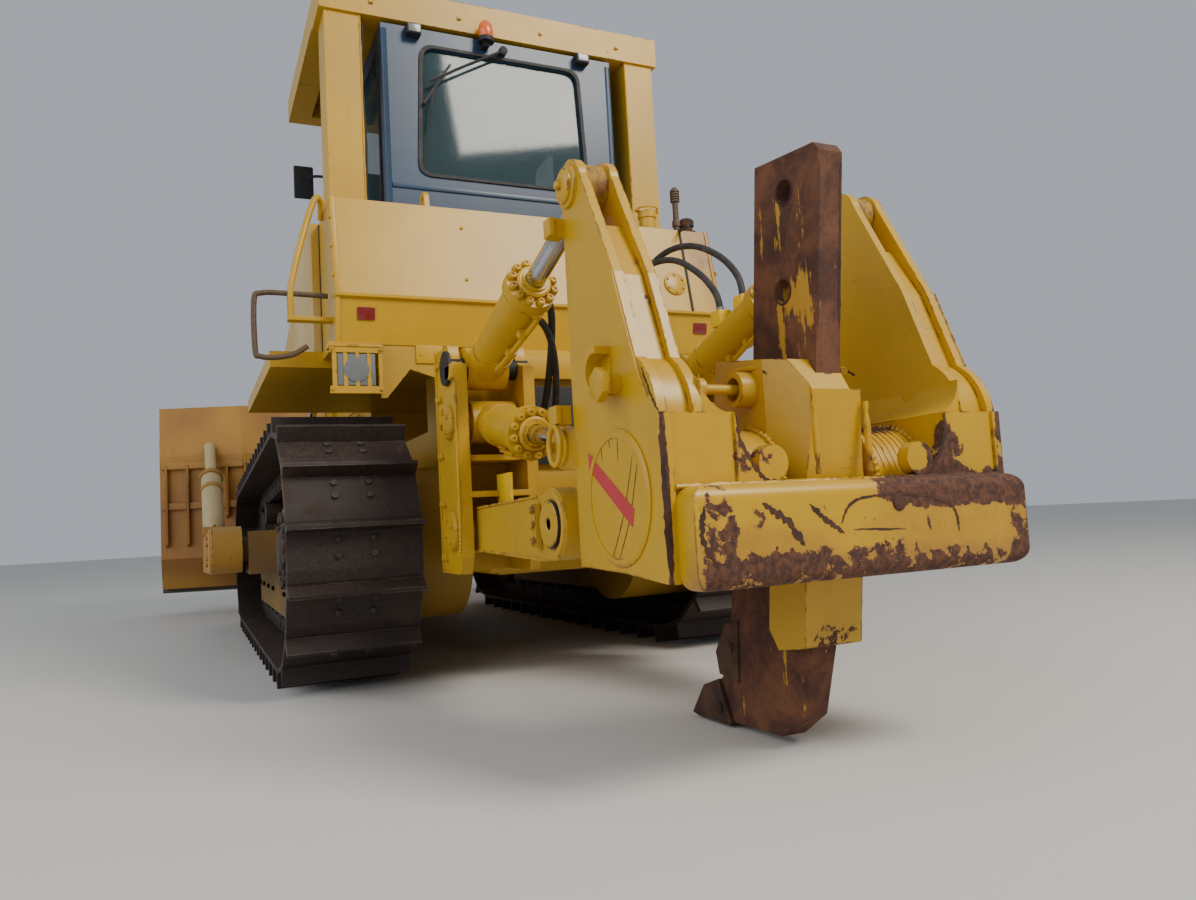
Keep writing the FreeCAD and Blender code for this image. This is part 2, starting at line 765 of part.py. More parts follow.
def cab():
    """Hollow cab: six-sided in plan, with window and door openings."""
    half, w = S.cab_half_width, S.cab_wall
    rear, front = at(S.cab_rear), at(S.cab_rear + S.cab_length)
    knee = front - S.cab_bevel
    nose = size(500)
    plan = ((rear, -half), (knee, -half), (front, -nose), (front, nose), (knee, half), (rear, half))
    outer = plate(plan, S.cab_floor, S.cab_top, "z")
    inner = plate(
        (
            (rear + w, -half + w), (knee - 20, -half + w), (front - w, -nose + 15), (front - w, nose - 15),
            (knee - 20, half - w), (rear + w, half - w),
        ),
        S.cab_floor + 340, S.cab_top - 80, "z",
    )
    rear_window = plate(REAR_WINDOW, rear - 50, rear + w + 50, "x")
    front_window = plate(FRONT_WINDOW, front - w - 50, front + 50, "x")
    door_hole = block((DOOR[0], DOOR[1]), (-half - 50, half + 50), (DOOR[2], DOOR[3]))
    side_window = block(SIDE_WINDOW[:2], (-half - 50, half + 50), SIDE_WINDOW[2:])
    shell = cut(outer, inner, rear_window, front_window, door_hole, side_window)
    hinges = []
    for z in DOOR_HINGES:
        for low in (z - 60.3, z + 30.3):
            hinges.append(drum("z", (DOOR[1], half + 15), 14, low, size(low) + 30))
            hinges.append(block((DOOR[1] + 1, DOOR[1] + 20), (half - 5, half + 15), (low, size(low) + 30)))
    pivots = fuse(*hinges)
    return fuse(shell, pivots, other_side(pivots))


DOOR = (at(1110), at(1850), size(2640), S.cab_top - 110)
DOOR_HINGES = (2850, 3850)
REAR_WINDOW = ((-600, 3240), (600, 3240), (560, 4110), (-560, 4110))
FRONT_WINDOW = ((-460, 2900), (460, 2900), (460, 4080), (-460, 4080))
SIDE_WINDOW = (at(S.cab_rear) + 130, DOOR[0] - 90, size(3000), size(4080))
node("cab_shell", cab())
half = S.cab_half_width
pane = 8
glass_place = half - S.cab_wall / 2
side_glass = block(SIDE_WINDOW[:2], (glass_place, glass_place + pane), SIDE_WINDOW[2:])
rear_glass = plate(REAR_WINDOW, at(S.cab_rear) + 20, at(S.cab_rear) + 28, "x")
front_glass = plate(
    FRONT_WINDOW, at(S.cab_rear + S.cab_length) - 28, at(S.cab_rear + S.cab_length) - 20, "x",
)
node("cab_glass", together(side_glass, other_side(side_glass), rear_glass, front_glass))
opening = ((DOOR[0] + 90, DOOR[1] - 90), (2760, DOOR[3] - 90))
door_leaf = cut(
    block(
        (DOOR[0] + S.door_gap, DOOR[1] - S.door_gap),
        (half - S.cab_wall, half),
        (DOOR[2] + S.door_gap, DOOR[3] - S.door_gap),
    ),
    block(opening[0], (half - 90, half + 40), opening[1]),
)
for z in DOOR_HINGES:
    door_leaf = fuse(
        door_leaf,
        drum("z", (DOOR[1], half + 15), 14, z - 30, z + 30),
        block((DOOR[1] - 40, DOOR[1]), (half - 1, half + 8), (z - 30, z + 30)),
    )
node("cab_door_left", door_leaf)
node("cab_door_right", other_side(door_leaf))

floor = S.cab_floor + 340.3
seat = fuse(
    block((at(760), at(1260)), (-260, 260), (floor + 390, floor + 520)),
    plate(
        ((at(680), floor + 420), (at(800), floor + 420), (at(700), floor + 1280), (at(600), floor + 1280)),
        -240, 240,
    ),
    block((at(820), at(1190)), (-180, 180), (floor, floor + 400)),
)
node("cab_interior", together(
    seat,
    block((at(1760), at(2080)), (-360, 360), (floor, floor + 700)),
    block((at(760), at(1350)), (-560, -330), (floor, floor + 560)),
))


def rollover():
    """Two posts beside the cab, a cross box over the roof and side rails forward."""
    inner = S.post_outer - S.post_width
    outer = S.post_outer
    top, eaves = ROOF_TOP, outer + 35
    rear, front = at(S.cab_rear - 10), at(S.cab_rear + 1840)
    post = block((rear + 20, rear + 280), (inner, outer), (box_top + S.seat, top - 40))
    posts = [post, other_side(post)]
    cross = block((rear, rear + 330), (-eaves, eaves), (top - S.roof_rail - 30, top))
    side_rail = block((rear, front), (outer - 130, eaves), (top - S.roof_rail, top))
    front_rail = block((front - 150, front), (-eaves, eaves), (top - S.roof_rail, top))
    roof = block((rear, front), (-outer, outer), (top - 60, top - 20))
    return fuse(*posts, cross, side_rail, other_side(side_rail), front_rail, roof)


node("rollover_frame", rollover())

# Ripper bracket: base plate on the steering case and four upright plates with their pins
BRACKET_PLATES = ((410, 470), (770, 830))
plates = []
bracket_edge = at(0) - S.bracket_rear
for low, high in BRACKET_PLATES:
    plates.append(plate(
        (
            (at(-875), 640), (bracket_edge + 50, 640), (bracket_edge, 720),
            (bracket_edge, S.bracket_top - 120, 130), (bracket_edge + 130, S.bracket_top),
            (at(-875), S.bracket_top),
        ),
        low, high,
    ))
pins = []
for pivot, radius in ((ARM_FRONT, 65), (RAISE_BASE, 55)):
    pins.append(drum("y", pivot, radius, 440, 800))
    pins.append(drum("y", pivot, radius + 35, 828, 845))
base = block((at(-880), at(-850)), (405, 835), (640, S.bracket_top))
tilt_bore = drum("y", TILT_BASE, size(55) + S.running_fit, 400, 840)
node("ripper_bracket", both(cut(fuse(*plates, *pins, base), tilt_bore)))
node("tilt_pins", both(fuse(drum("y", TILT_BASE, 55, 405, 840), drum("y", TILT_BASE, 90, 835, 850))))


def ripper_arm():
    """Box arm with a plain front eye and a forked rear eye."""
    front, rear = ARM_FRONT, ARM_REAR
    low, high = size(500), size(740)
    body = plate(
        (
            (rear[0], rear[1] + 130), (rear[0], rear[1] - 140), (front[0], front[1] - 105),
            (front[0], front[1] + 92),
        ),
        low, high,
    )
    eye = drum("y", front, 120, low, high)
    end = drum("y", rear, 145, low, high)
    slot = block(
        (rear[0] - 200, rear[0] + 150), (LUG[0] - S.side_play, LUG[1] + S.side_play),
        (rear[1] - 220, rear[1] + 220),
    )
    bore = drum("y", front, size(65) + S.running_fit, low - 10, high + 10)
    pin_bore = drum("y", rear, size(60) + S.running_fit, low - 10, high + 10)
    return cut(fuse(body, eye, end), slot, bore, pin_bore)


LUG = (size(590), size(650))
node("ripper_arms", both(ripper_arm()))
node("beam_pins", both(fuse(drum("y", ARM_REAR, 60, 495, 745), drum("y", ARM_REAR, 95, 740.3, 758))))


def beam():
    """Ripper beam: horns with ears on shoulder blocks, torque tube, rear plate, arm lugs and eye cheeks."""
    front, rear = at(0) - S.beam_front, at(0) - S.beam_rear
    low, top = S.beam_bottom, S.beam_top
    inner, outer = S.horn_inner, S.beam_half_width
    ear = HORN_PIN
    horn = (
        (front, ear[1] - 60), (ear[0] + 80, ear[1]), (ear[0] - 98, ear[1] + 20), (at(-2860), 1720),
        (at(-2985), 1400, 260), (at(-3110), top),
    )
    side_outline = ((front, low + 40), *horn, (rear, top), (rear, low), (at(-2830), low + 25))
    inner_outline = ((front, top - 10), *horn, (at(-3110), top - 10))
    plates = []
    for outline, near in ((side_outline, outer - S.side_plate), (inner_outline, inner)):
        far = near + S.side_plate
        plates.append(fuse(plate(outline, near, far), drum("y", ear, S.ear_radius, near, far)))
    shoulder = plate(
        (
            (front - 55, low + 42), (front - 55, top), (rear + 10, top), (rear + 10, low),
            (at(-2830), low + 25),
        ),
        S.shoulder_inner, outer - S.side_plate + 1,
    )
    core = plate(
        (
            (front - 55, top - 5), (front - 55, ear[1] - 200), (at(-2690), ear[1] - 200), (at(-2830), 1720),
            (at(-2955), 1400, 260), (at(-3085), top - 5),
        ),
        inner + S.side_plate - 1, outer - S.side_plate + 1,
    )
    flare = plate(
        ((inner + 1, top - 1), (S.shoulder_inner, top - 1, 130), (inner + 1, top + 130)),
        at(-3100), front - 55, "x",
    )
    flare = cut(flare, drum("y", PIN_PLACE, size(40) + S.seat, S.shoulder_inner - 10, inner))
    lug = cut(
        fuse(
            drum("y", ARM_REAR, 115, LUG[0], LUG[1]),
            plate(
                (
                    (ARM_REAR[0], ARM_REAR[1] + 115), (ARM_REAR[0], ARM_REAR[1] - 115), (front - 70, 740),
                    (front - 70, 1010),
                ),
                LUG[0], LUG[1],
            ),
        ),
        drum("y", ARM_REAR, size(60) + S.running_fit, LUG[0] - 5, LUG[1] + 5),
    )
    cheeks = []
    for near in (size(510), outer - S.side_plate):
        far = near + S.side_plate
        cheeks.append(fuse(
            drum("y", RAISE_EYE, 85, near, far),
            plate(
                (
                    (RAISE_EYE[0], RAISE_EYE[1] + 85), (RAISE_EYE[0], RAISE_EYE[1] - 85), (front - 70, 1060),
                    (front - 70, top - 5),
                ),
                near, far,
            ),
        ))
    tube = drum("y", TUBE_CENTRE, S.tube_radius, S.holder_side - 1, S.shoulder_inner + 1)
    end_disc = drum("y", TUBE_CENTRE, S.tube_radius, outer - 1, outer + 10)
    ring = cut(
        drum("y", STUD_PLACE, 88, outer - 1, outer + 62),
        drum("y", STUD_PLACE, 62, outer + 4, outer + 70),
        block(
            (STUD_PLACE[0] - 100, STUD_PLACE[0] - 22), (outer, outer + 70),
            (STUD_PLACE[1] - 100, STUD_PLACE[1] + 100),
        ),
    )
    stud = drum("y", (STUD_PLACE[0] - 62, STUD_PLACE[1] - 52), 34, outer - 1, outer + 58)
    pin_heads = [
        drum("y", HORN_PIN, 66, outer - 1, outer + 26),
        drum("y", RAISE_EYE, 56, outer - 1, outer + 22),
    ]
    keepers = [
        block((front + 20, front + 95), (outer - 1, outer + 46), (RAISE_EYE[1] + 78, RAISE_EYE[1] + 150)),
        block((front - 5, front + 60), (outer - 1, outer + 46), (HORN_PIN[1] - 175, HORN_PIN[1] - 105)),
    ]
    half = fuse(
        *plates, shoulder, core, flare, lug, *cheeks, tube, end_disc, ring, stud, *pin_heads, *keepers,
    )
    reach = S.shoulder_inner + 5
    rear_plate = plate(
        (
            (-reach, low), (reach, low), (reach, top), (440, 1090), (354, 985, -60), (300, 975),
            (-300, 975, -60), (-354, 985), (-440, 1090), (-reach, top),
        ),
        rear, rear + 50, "x",
    )
    return fuse(half, other_side(half), rear_plate)


LEAN = 0.13


def leaned(x, height):
    """Place (x, height) on a piece that leans back with the shank. x holds at the height of the mark."""
    return (x - (size(height) - S.shank_mark) * LEAN, size(height))


def holder():
    """Box round the shank with a tapered rear, a boss for the pin and a narrow foot below the beam."""
    front = at(0) - S.shank_front + S.slide_gap
    back = at(0) - S.shank_front - S.shank_depth - S.slide_gap
    box = plate(
        (
            leaned(front + 40, 700), leaned(front + 40, 1457), leaned(back + 45, 1400),
            leaned(back - 42, 1285), leaned(back - 42, 700),
        ),
        -S.holder_side, S.holder_side,
    )
    corner = plate(
        (
            (back + 130, S.holder_side + 10), (back + 130, S.holder_side), (back - 5, 107), (back - 200, 107),
            (back - 200, S.holder_side + 10),
        ),
        690, 1500, "z",
    )
    foot = plate(
        (
            leaned(back + 170, 720), leaned(back + 170, 440), leaned(back + 110, 370), leaned(back - 42, 390),
            leaned(back - 42, 720),
        ),
        -S.holder_foot_side, S.holder_foot_side,
    )
    boss = drum("y", PIN_PLACE, 64, S.holder_side - 60, S.holder_side + 70)
    return cut(
        fuse(cut(box, corner, other_side(corner)), foot, boss),
        drum("y", PIN_PLACE, 42, 0, S.holder_side + 80),
    )


push_rear = at(0) - S.beam_rear - S.push_block_depth
push_front = at(0) - S.beam_rear + 1
push_block = doc.addObject("Part::MultiCommon", "PushBlock")
push_block.Shapes = [
    plate(
        (
            (-635, 640), (635, 640, 60), (695, 700), (695, 905, 60), (635, 965), (-635, 965, 60), (-695, 905),
            (-695, 700, 60),
        ),
        push_rear - 10, push_front, "x",
    ),
    plate(
        (
            (push_rear + 50, 640), (push_front, 640), (push_front, 965), (push_rear + 50, 965, 50),
            (push_rear, 915), (push_rear, 690, 50),
        ),
        -700, 700,
    ),
]
slot_half = S.shank_thickness / 2 + S.slide_gap
shank_slot = plate(
    (
        leaned(at(0) - S.shank_front + S.slide_gap, 300), leaned(at(0) - S.shank_front + S.slide_gap, 1600),
        leaned(at(0) - S.shank_front - S.shank_depth - S.seat, 1600),
        leaned(at(0) - S.shank_front - S.shank_depth - S.seat, 300),
    ),
    -slot_half, slot_half,
)
# The right half of the box is lower than the left
low_half = block((at(-3300), at(-2500)), (-S.holder_side - 10, -slot_half + 1), (1285, 1500))
node("ripper_beam", cut(fuse(beam(), cut(holder(), low_half), push_block), shank_slot))


def shank():
    """Leaning shank with its pin holes; its foot sweeps forward to the ground."""
    front = at(0) - S.shank_front
    rear = front - S.shank_depth
    top = S.shank_top
    outline = (
        leaned(front, top), leaned(rear + 30, top - 40), leaned(rear, top - 75), leaned(rear, 400),
        (at(-2840), 125), (at(-2700), 30), (at(-2380), 25), (at(-2300), 190), (at(-2375), 260),
        (at(-2420), 560), (at(-2540), 640), leaned(front, 700),
    )
    body = plate(outline, -S.shank_thickness / 2, S.shank_thickness / 2)
    holes = []
    for i in range(3):
        place_x = PIN_PLACE[0] - S.hole_pitch * (LEAN * i)
        height = PIN_PLACE[1] + S.hole_pitch * i
        holes.append(drum("y", (place_x, height), 42, -S.shank_thickness, S.shank_thickness))
    return cut(body, *holes)


node("shank", shank())
point = plate(
    (
        (at(-2379.7), 25), (at(-2299.7), 190), (at(-2180), 150), (at(-2075), 20), (at(-2120), 12),
        (at(-2370), 12),
    ),
    -70, 70,
)
node("shank_point", point)


def barrel(base, eye, radius, bore, share, depth, side, pin_radius, width):
    """Cylinder barrel with a base eye and a bolted gland flange, bored to a depth for its rod."""
    dx, dz = (eye[0] - base[0]).value, (eye[1] - base[1]).value
    end = math.hypot(dx, dz) * share
    rim = radius + S.gland_rim
    profile = solid_profile((60, radius), (end - 70, radius), (end - 70, rim), (end, rim))
    where = (base[0], size(side), base[1])
    tube = turned(profile, where, (dx, 0, dz))
    hollow = turned(solid_profile((end - depth, bore), (end + 30, bore)), where, (dx, 0, dz))
    eye_drum = drum("y", base, pin_radius + 55, side - width / 2, side + width / 2)
    hole = drum("y", base, pin_radius + S.running_fit, side - width, side + width)
    return cut(fuse(tube, eye_drum), hole, hollow)


def rod(base, eye, radius, start, side, eye_radius, width):
    """Cylinder rod with its end eye. Its inner end stands at a distance from the base."""
    dx, dz = (eye[0] - base[0]).value, (eye[1] - base[1]).value
    end = math.hypot(dx, dz) - eye_radius / 2
    shaft = turned(solid_profile((start, radius), (end, radius)), (base[0], size(side), base[1]), (dx, 0, dz))
    return fuse(shaft, drum("y", eye, eye_radius, side - width / 2, side + width / 2))


# Ripper cylinders: name, base pivot, eye pivot, barrel radius, share of the length that is barrel, travel in
# and out, side place, base eye width, rod eye radius and width
RIPPER_CYLINDERS = (
    ("raise", RAISE_BASE, RAISE_EYE, S.raise_cylinder_radius, 0.52, 215, 195, 618.0, 240, 72, 143.4),
    ("tilt", TILT_BASE, HORN_PIN, S.tilt_cylinder_radius, 0.55, 170, 170, 643.0, 216, 86, 93.4),
)
KEPT_IN = 60
for name, base, eye, radius, share, inward, outward, side, width, eye_radius, eye_width in RIPPER_CYLINDERS:
    length = math.hypot((eye[0] - base[0]).value, (eye[1] - base[1]).value)
    bore = S.ripper_rod_radius + S.running_fit
    depth = KEPT_IN + outward + inward + 10
    node(f"{name}_barrels", both(barrel(
        base, eye, radius, bore, share, depth, side, size(55), width,
    )))
    start = length * share - KEPT_IN - outward
    node(f"{name}_rods", both(rod(base, eye, S.ripper_rod_radius, start, side, eye_radius, eye_width)))
node("pin_puller", fuse(
    drum("y", PIN_PLACE, 40, size(400), S.horn_inner - S.seat),
    drum("y", PIN_PLACE, 18, S.holder_side + 20, size(405)),
))


def blade_section(x, y):
    """Closed section of the moldboard at one place across the machine."""
    low, high = S.blade_raise.value, (S.blade_raise + S.blade_height).value
    front_top = FreeCAD.Vector(x + 350, y, high)
    front_mid = FreeCAD.Vector(x + 130, y, low + 0.50 * (high - low))
    front_low = FreeCAD.Vector(x + 560, y, low + 90)
    back_low = FreeCAD.Vector(x + 380, y, low + 60)
    back_kneel = FreeCAD.Vector(x, y, low + 430)
    back_kneeh = FreeCAD.Vector(x, y, low + 1650)
    back_top = FreeCAD.Vector(x + 270, y, high)
    edges = [
        Part.Arc(front_top, front_mid, front_low).toShape(),
        Part.LineSegment(front_low, back_low).toShape(),
        Part.LineSegment(back_low, back_kneel).toShape(),
        Part.LineSegment(back_kneel, back_kneeh).toShape(),
        Part.LineSegment(back_kneeh, back_top).toShape(),
        Part.LineSegment(back_top, front_top).toShape(),
    ]
    return Part.Wire(edges)


def moldboard():
    """Semi-U moldboard: a straight middle with both wings swept forward."""
    half, wing = S.blade_half_width.value, S.wing_width.value
    back, sweep = at(S.blade_back).value, S.wing_sweep.value
    sections = []
    for y, forward in ((-half, sweep), (-half + wing, 0), (half - wing, 0), (half, sweep)):
        sections.append(blade_section(back + forward, y))
    feature = doc.addObject("Part::Feature", "Moldboard")
    feature.Shape = Part.makeLoft(sections, True, True)
    return feature


def cutting_edge():
    """Cutting edges and end bits along the foot of the moldboard."""
    half, wing = S.blade_half_width.value, S.wing_width.value
    back, sweep = at(S.blade_back).value, S.wing_sweep.value
    low = S.blade_raise.value
    stations = ((-half, sweep), (-half + wing, 0), (half - wing, 0), (half, sweep))
    corners = ((600, low), (640, low), (600, low + 300), (560, low + 89), (560, low + 20))
    wires = []
    for y, forward in stations:
        points = [FreeCAD.Vector(back + forward + x, y, z) for x, z in corners]
        wires.append(Part.makePolygon(points + points[:1]))
    feature = doc.addObject("Part::Feature", "Edge")
    feature.Shape = Part.makeLoft(wires, True, True)
    return feature


lugs = []
eye_half = 56
for gap in (eye_half + S.seat, -eye_half - S.seat - 40):
    low = S.blade_cylinder_side + gap
    lugs.append(fuse(
        drum("y", BLADE_EYE, 95, low, low + 40),
        plate(
            (
                (BLADE_EYE[0], BLADE_EYE[1] + 95), (BLADE_EYE[0], BLADE_EYE[1] - 95),
                (at(S.blade_back) + 60, BLADE_EYE[1] - 150), (at(S.blade_back) + 60, BLADE_EYE[1] + 150),
            ),
            low, low + 40,
        ),
    ))
lug_pair = both(together(*lugs))
blade = node("blade", fuse(moldboard(), lug_pair))
node("cutting_edge", cut(cutting_edge(), blade))


def push_arm():
    """Push arm from the outer trunnion to the back of the blade."""
    front = at(S.blade_back)
    outline = (
        (TRUNNION[0], TRUNNION[1] + 170), (TRUNNION[0], TRUNNION[1] - 170), (front - 500, 520),
        (front + 210, 520), (front + 210, 1000), (front - 500, 900),
    )
    low, high = S.arm_inner, S.arm_inner + S.arm_width
    body = fuse(plate(outline, low, high), drum("y", TRUNNION, 170, low, high))
    bore = drum("y", TRUNNION, size(90) + S.running_fit, low - 10, high + 10)
    return cut(body, bore)


arms = push_arm()
node("push_arms", both(cut(arms, blade)))
brace_low = (at(4900), size(960))
brace_high = (at(6120), size(2000))
brace_dx = (brace_high[0] - brace_low[0]).value
brace_dz = (brace_high[1] - brace_low[1]).value
brace_length = math.hypot(brace_dx, brace_dz)
brace = turned(
    solid_profile(
        (0, 70), (120, 110), (brace_length * 0.6, 110), (brace_length * 0.6, 60), (brace_length, 60),
    ),
    (brace_low[0], S.arm_inner + S.arm_width / 2, brace_low[1]), (brace_dx, 0, brace_dz),
)
node("braces", both(cut(brace, arms, blade)))

# Blade lift cylinders: barrels run through their yokes, rods reach the eyes on the blade
lift_dx = (BLADE_EYE[0] - LIFT_YOKE[0]).value
lift_dz = (BLADE_EYE[1] - LIFT_YOKE[1]).value
lift_length = math.hypot(lift_dx, lift_dz)
lift_direction = (lift_dx, 0, lift_dz)
side = S.blade_cylinder_side
radius = S.blade_cylinder_radius
rod_bore = S.blade_rod_radius + S.running_fit
lift_tube = turned(
    solid_profile((-1345, radius), (180, radius), (180, radius + 20), (250, radius + 20)),
    (LIFT_YOKE[0], side, LIFT_YOKE[1]), lift_direction,
)
lift_bore = turned(
    solid_profile((-1310, rod_bore), (300, rod_bore)), (LIFT_YOKE[0], side, LIFT_YOKE[1]), lift_direction,
)
stub = drum("y", LIFT_YOKE, 45, S.guard_half_width + 12, side - 58)
node("lift_barrels", both(fuse(cut(lift_tube, lift_bore), stub)))
lift_shaft = turned(
    solid_profile((-450, S.blade_rod_radius), (lift_length - 30, S.blade_rod_radius)),
    (LIFT_YOKE[0], side, LIFT_YOKE[1]), lift_direction,
)
node("lift_rods", both(fuse(lift_shaft, drum("y", BLADE_EYE, 80, side - 56, side + 56))))


def check(obj):
    """Stop on any object that failed to compute or has a bad shape."""
    if "Invalid" in obj.State or "Error" in obj.State:
        raise RuntimeError(f"{obj.Label}: {obj.State}")


doc.recompute()
for obj in doc.Objects:
    check(obj)
for obj in nodes:
    if obj.Shape.isNull() or not obj.Shape.isValid() or not obj.Shape.Solids:
        raise RuntimeError(f"{obj.Label} has no valid shape")
for obj in nodes:
    obj.Shape.exportStep(f"parts/{obj.Label}.step")
    box = obj.Shape.BoundBox
    print(f"{obj.Label}: {len(obj.Shape.Solids)} solids, x {box.XMin:.0f} {box.XMax:.0f}, "
          f"y {box.YMin:.0f} {box.YMax:.0f}, z {box.ZMin:.0f} {box.ZMax:.0f}")
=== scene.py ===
"""Crawler bulldozer with a single-shank ripper: finishes, fastenings and fittings on the machine's frame."""

import math
import random

import bmesh
import bpy
from bpy.props import FloatProperty, FloatVectorProperty, IntProperty, PointerProperty
from mathutils import Matrix, Vector


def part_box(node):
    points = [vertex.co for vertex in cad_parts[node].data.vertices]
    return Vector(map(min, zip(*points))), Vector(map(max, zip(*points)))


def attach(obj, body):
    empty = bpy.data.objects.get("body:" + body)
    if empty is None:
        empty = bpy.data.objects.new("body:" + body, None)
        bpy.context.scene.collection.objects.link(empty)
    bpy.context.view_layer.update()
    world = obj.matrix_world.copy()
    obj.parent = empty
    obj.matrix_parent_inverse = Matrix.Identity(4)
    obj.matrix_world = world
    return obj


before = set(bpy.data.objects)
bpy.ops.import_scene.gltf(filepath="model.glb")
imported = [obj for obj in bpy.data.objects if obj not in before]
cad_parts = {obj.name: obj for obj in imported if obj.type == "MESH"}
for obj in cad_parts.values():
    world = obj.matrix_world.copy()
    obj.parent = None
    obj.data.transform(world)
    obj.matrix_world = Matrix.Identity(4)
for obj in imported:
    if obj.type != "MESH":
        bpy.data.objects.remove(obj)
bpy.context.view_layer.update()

bl_info = {
    "name": "Crawler bulldozer",
    "version": (1, 0, 0),
    "blender": (4, 5, 0),
    "location": "3D View > Sidebar > Bulldozer",
    "description": "Builds the looks of a crawler bulldozer with a ripper",
    "category": "Add Mesh",
}

# Places in this file are stations from the sprocket axis, forward, with y and z as in the frame
SPROCKET = -1.855
SIDE = 1.25
TANK_HALF = 1.28


# Node material toolbox


def start_material(name):
    """A new node material with its shader, and its node tree."""
    material = bpy.data.materials.new(name)
    material.use_nodes = True
    tree = material.node_tree
    shader = tree.nodes["Principled BSDF"]
    return material, tree, shader


def place_in(tree, scale=(1, 1, 1), turn=(0, 0, 0), shift=(0, 0, 0)):
    """Object coordinates, moved, turned and stretched."""
    coordinates = tree.nodes.new("ShaderNodeTexCoord")
    mapping = tree.nodes.new("ShaderNodeMapping")
    mapping.inputs["Location"].default_value = shift
    mapping.inputs["Rotation"].default_value = turn
    mapping.inputs["Scale"].default_value = scale
    tree.links.new(coordinates.outputs["Object"], mapping.inputs["Vector"])
    return mapping.outputs["Vector"]


def noise(tree, vector, scale, detail=6.0, rough=0.6, distort=0.0):
    """Fractal noise as a grey value."""
    node = tree.nodes.new("ShaderNodeTexNoise")
    node.inputs["Scale"].default_value = scale
    node.inputs["Detail"].default_value = detail
    node.inputs["Roughness"].default_value = rough
    node.inputs["Distortion"].default_value = distort
    tree.links.new(vector, node.inputs["Vector"])
    return node.outputs["Fac"]


def band(tree, value, low, high, least=0.0, most=1.0):
    """A smooth step of a grey value between two levels."""
    node = tree.nodes.new("ShaderNodeMapRange")
    node.interpolation_type = "SMOOTHSTEP"
    node.inputs["From Min"].default_value = low
    node.inputs["From Max"].default_value = high
    node.inputs["To Min"].default_value = least
    node.inputs["To Max"].default_value = most
    tree.links.new(value, node.inputs["Value"])
    return node.outputs["Result"]


def math_node(tree, kind, first, second, clamp=True):
    """A two-value sum, product or comparison. Either value may be a number."""
    node = tree.nodes.new("ShaderNodeMath")
    node.operation = kind
    node.use_clamp = clamp
    for socket, value in zip(node.inputs, (first, second)):
        if isinstance(value, (int, float)):
            socket.default_value = value
        else:
            tree.links.new(value, socket)
    return node.outputs["Value"]


def total(tree, *values):
    """Sum of grey values, not clamped."""
    result = values[0]
    for value in values[1:]:
        result = math_node(tree, "ADD", result, value, clamp=False)
    return result


def times(tree, first, second):
    """Product of two grey values."""
    return math_node(tree, "MULTIPLY", first, second)


def blend_colour(tree, share, below, above):
    """Mix two colours by a grey share. Either colour may be a socket or a tuple."""
    node = tree.nodes.new("ShaderNodeMix")
    node.data_type = "RGBA"
    tree.links.new(share, node.inputs["Factor"])
    for socket, value in ((node.inputs[6], below), (node.inputs[7], above)):
        if isinstance(value, tuple):
            socket.default_value = (*value, 1.0)
        else:
            tree.links.new(value, socket)
    return node.outputs[2]


def bump(tree, shader, height, strength, distance=0.01):
    """Relief from a grey height."""
    node = tree.nodes.new("ShaderNodeBump")
    node.inputs["Strength"].default_value = strength
    node.inputs["Distance"].default_value = distance
    tree.links.new(height, node.inputs["Height"])
    tree.links.new(node.outputs["Normal"], shader.inputs["Normal"])


def vector_node(tree, kind, first, second=None):
    """A vector sum, product, length or dot product."""
    node = tree.nodes.new("ShaderNodeVectorMath")
    node.operation = kind
    for socket, value in zip(node.inputs, (first, second)):
        if isinstance(value, tuple):
            socket.default_value = value
        elif value is not None:
            tree.links.new(value, socket)
    return node.outputs["Value"] if kind in ("LENGTH", "DOT_PRODUCT") else node.outputs["Vector"]


def edges_of(tree, radius=0.012):
    """Share near sharp edges, where the rounded normal leaves the true one."""
    rounded = tree.nodes.new("ShaderNodeBevel")
    rounded.samples = 4
    rounded.inputs["Radius"].default_value = radius
    true = tree.nodes.new("ShaderNodeNewGeometry")
    match = vector_node(tree, "DOT_PRODUCT", rounded.outputs["Normal"], true.outputs["Normal"])
    return band(tree, match, 0.985, 0.90)


def facing_up(tree):
    """Share of the surface's normal that looks up."""
    geometry = tree.nodes.new("ShaderNodeNewGeometry")
    split = tree.nodes.new("ShaderNodeSeparateXYZ")
    tree.links.new(geometry.outputs["Normal"], split.inputs["Vector"])
    return band(tree, split.outputs["Z"], 0.55, 0.97)


def zone(tree, where, centre, reach, ragged, both_sides=False):
    """Share that falls from 1 at a place to 0 at its reach, with a ragged rim."""
    if both_sides:
        where = vector_node(tree, "ABSOLUTE", where)
        centre = tuple(abs(v) for v in centre)
    away = vector_node(tree, "SUBTRACT", where, centre)
    away = vector_node(tree, "MULTIPLY", away, tuple(1 / v for v in reach))
    distance = vector_node(tree, "LENGTH", away)
    distance = math_node(tree, "ADD", distance, math_node(tree, "MULTIPLY", ragged, 0.9), clamp=False)
    return band(tree, distance, 1.45, 0.75)


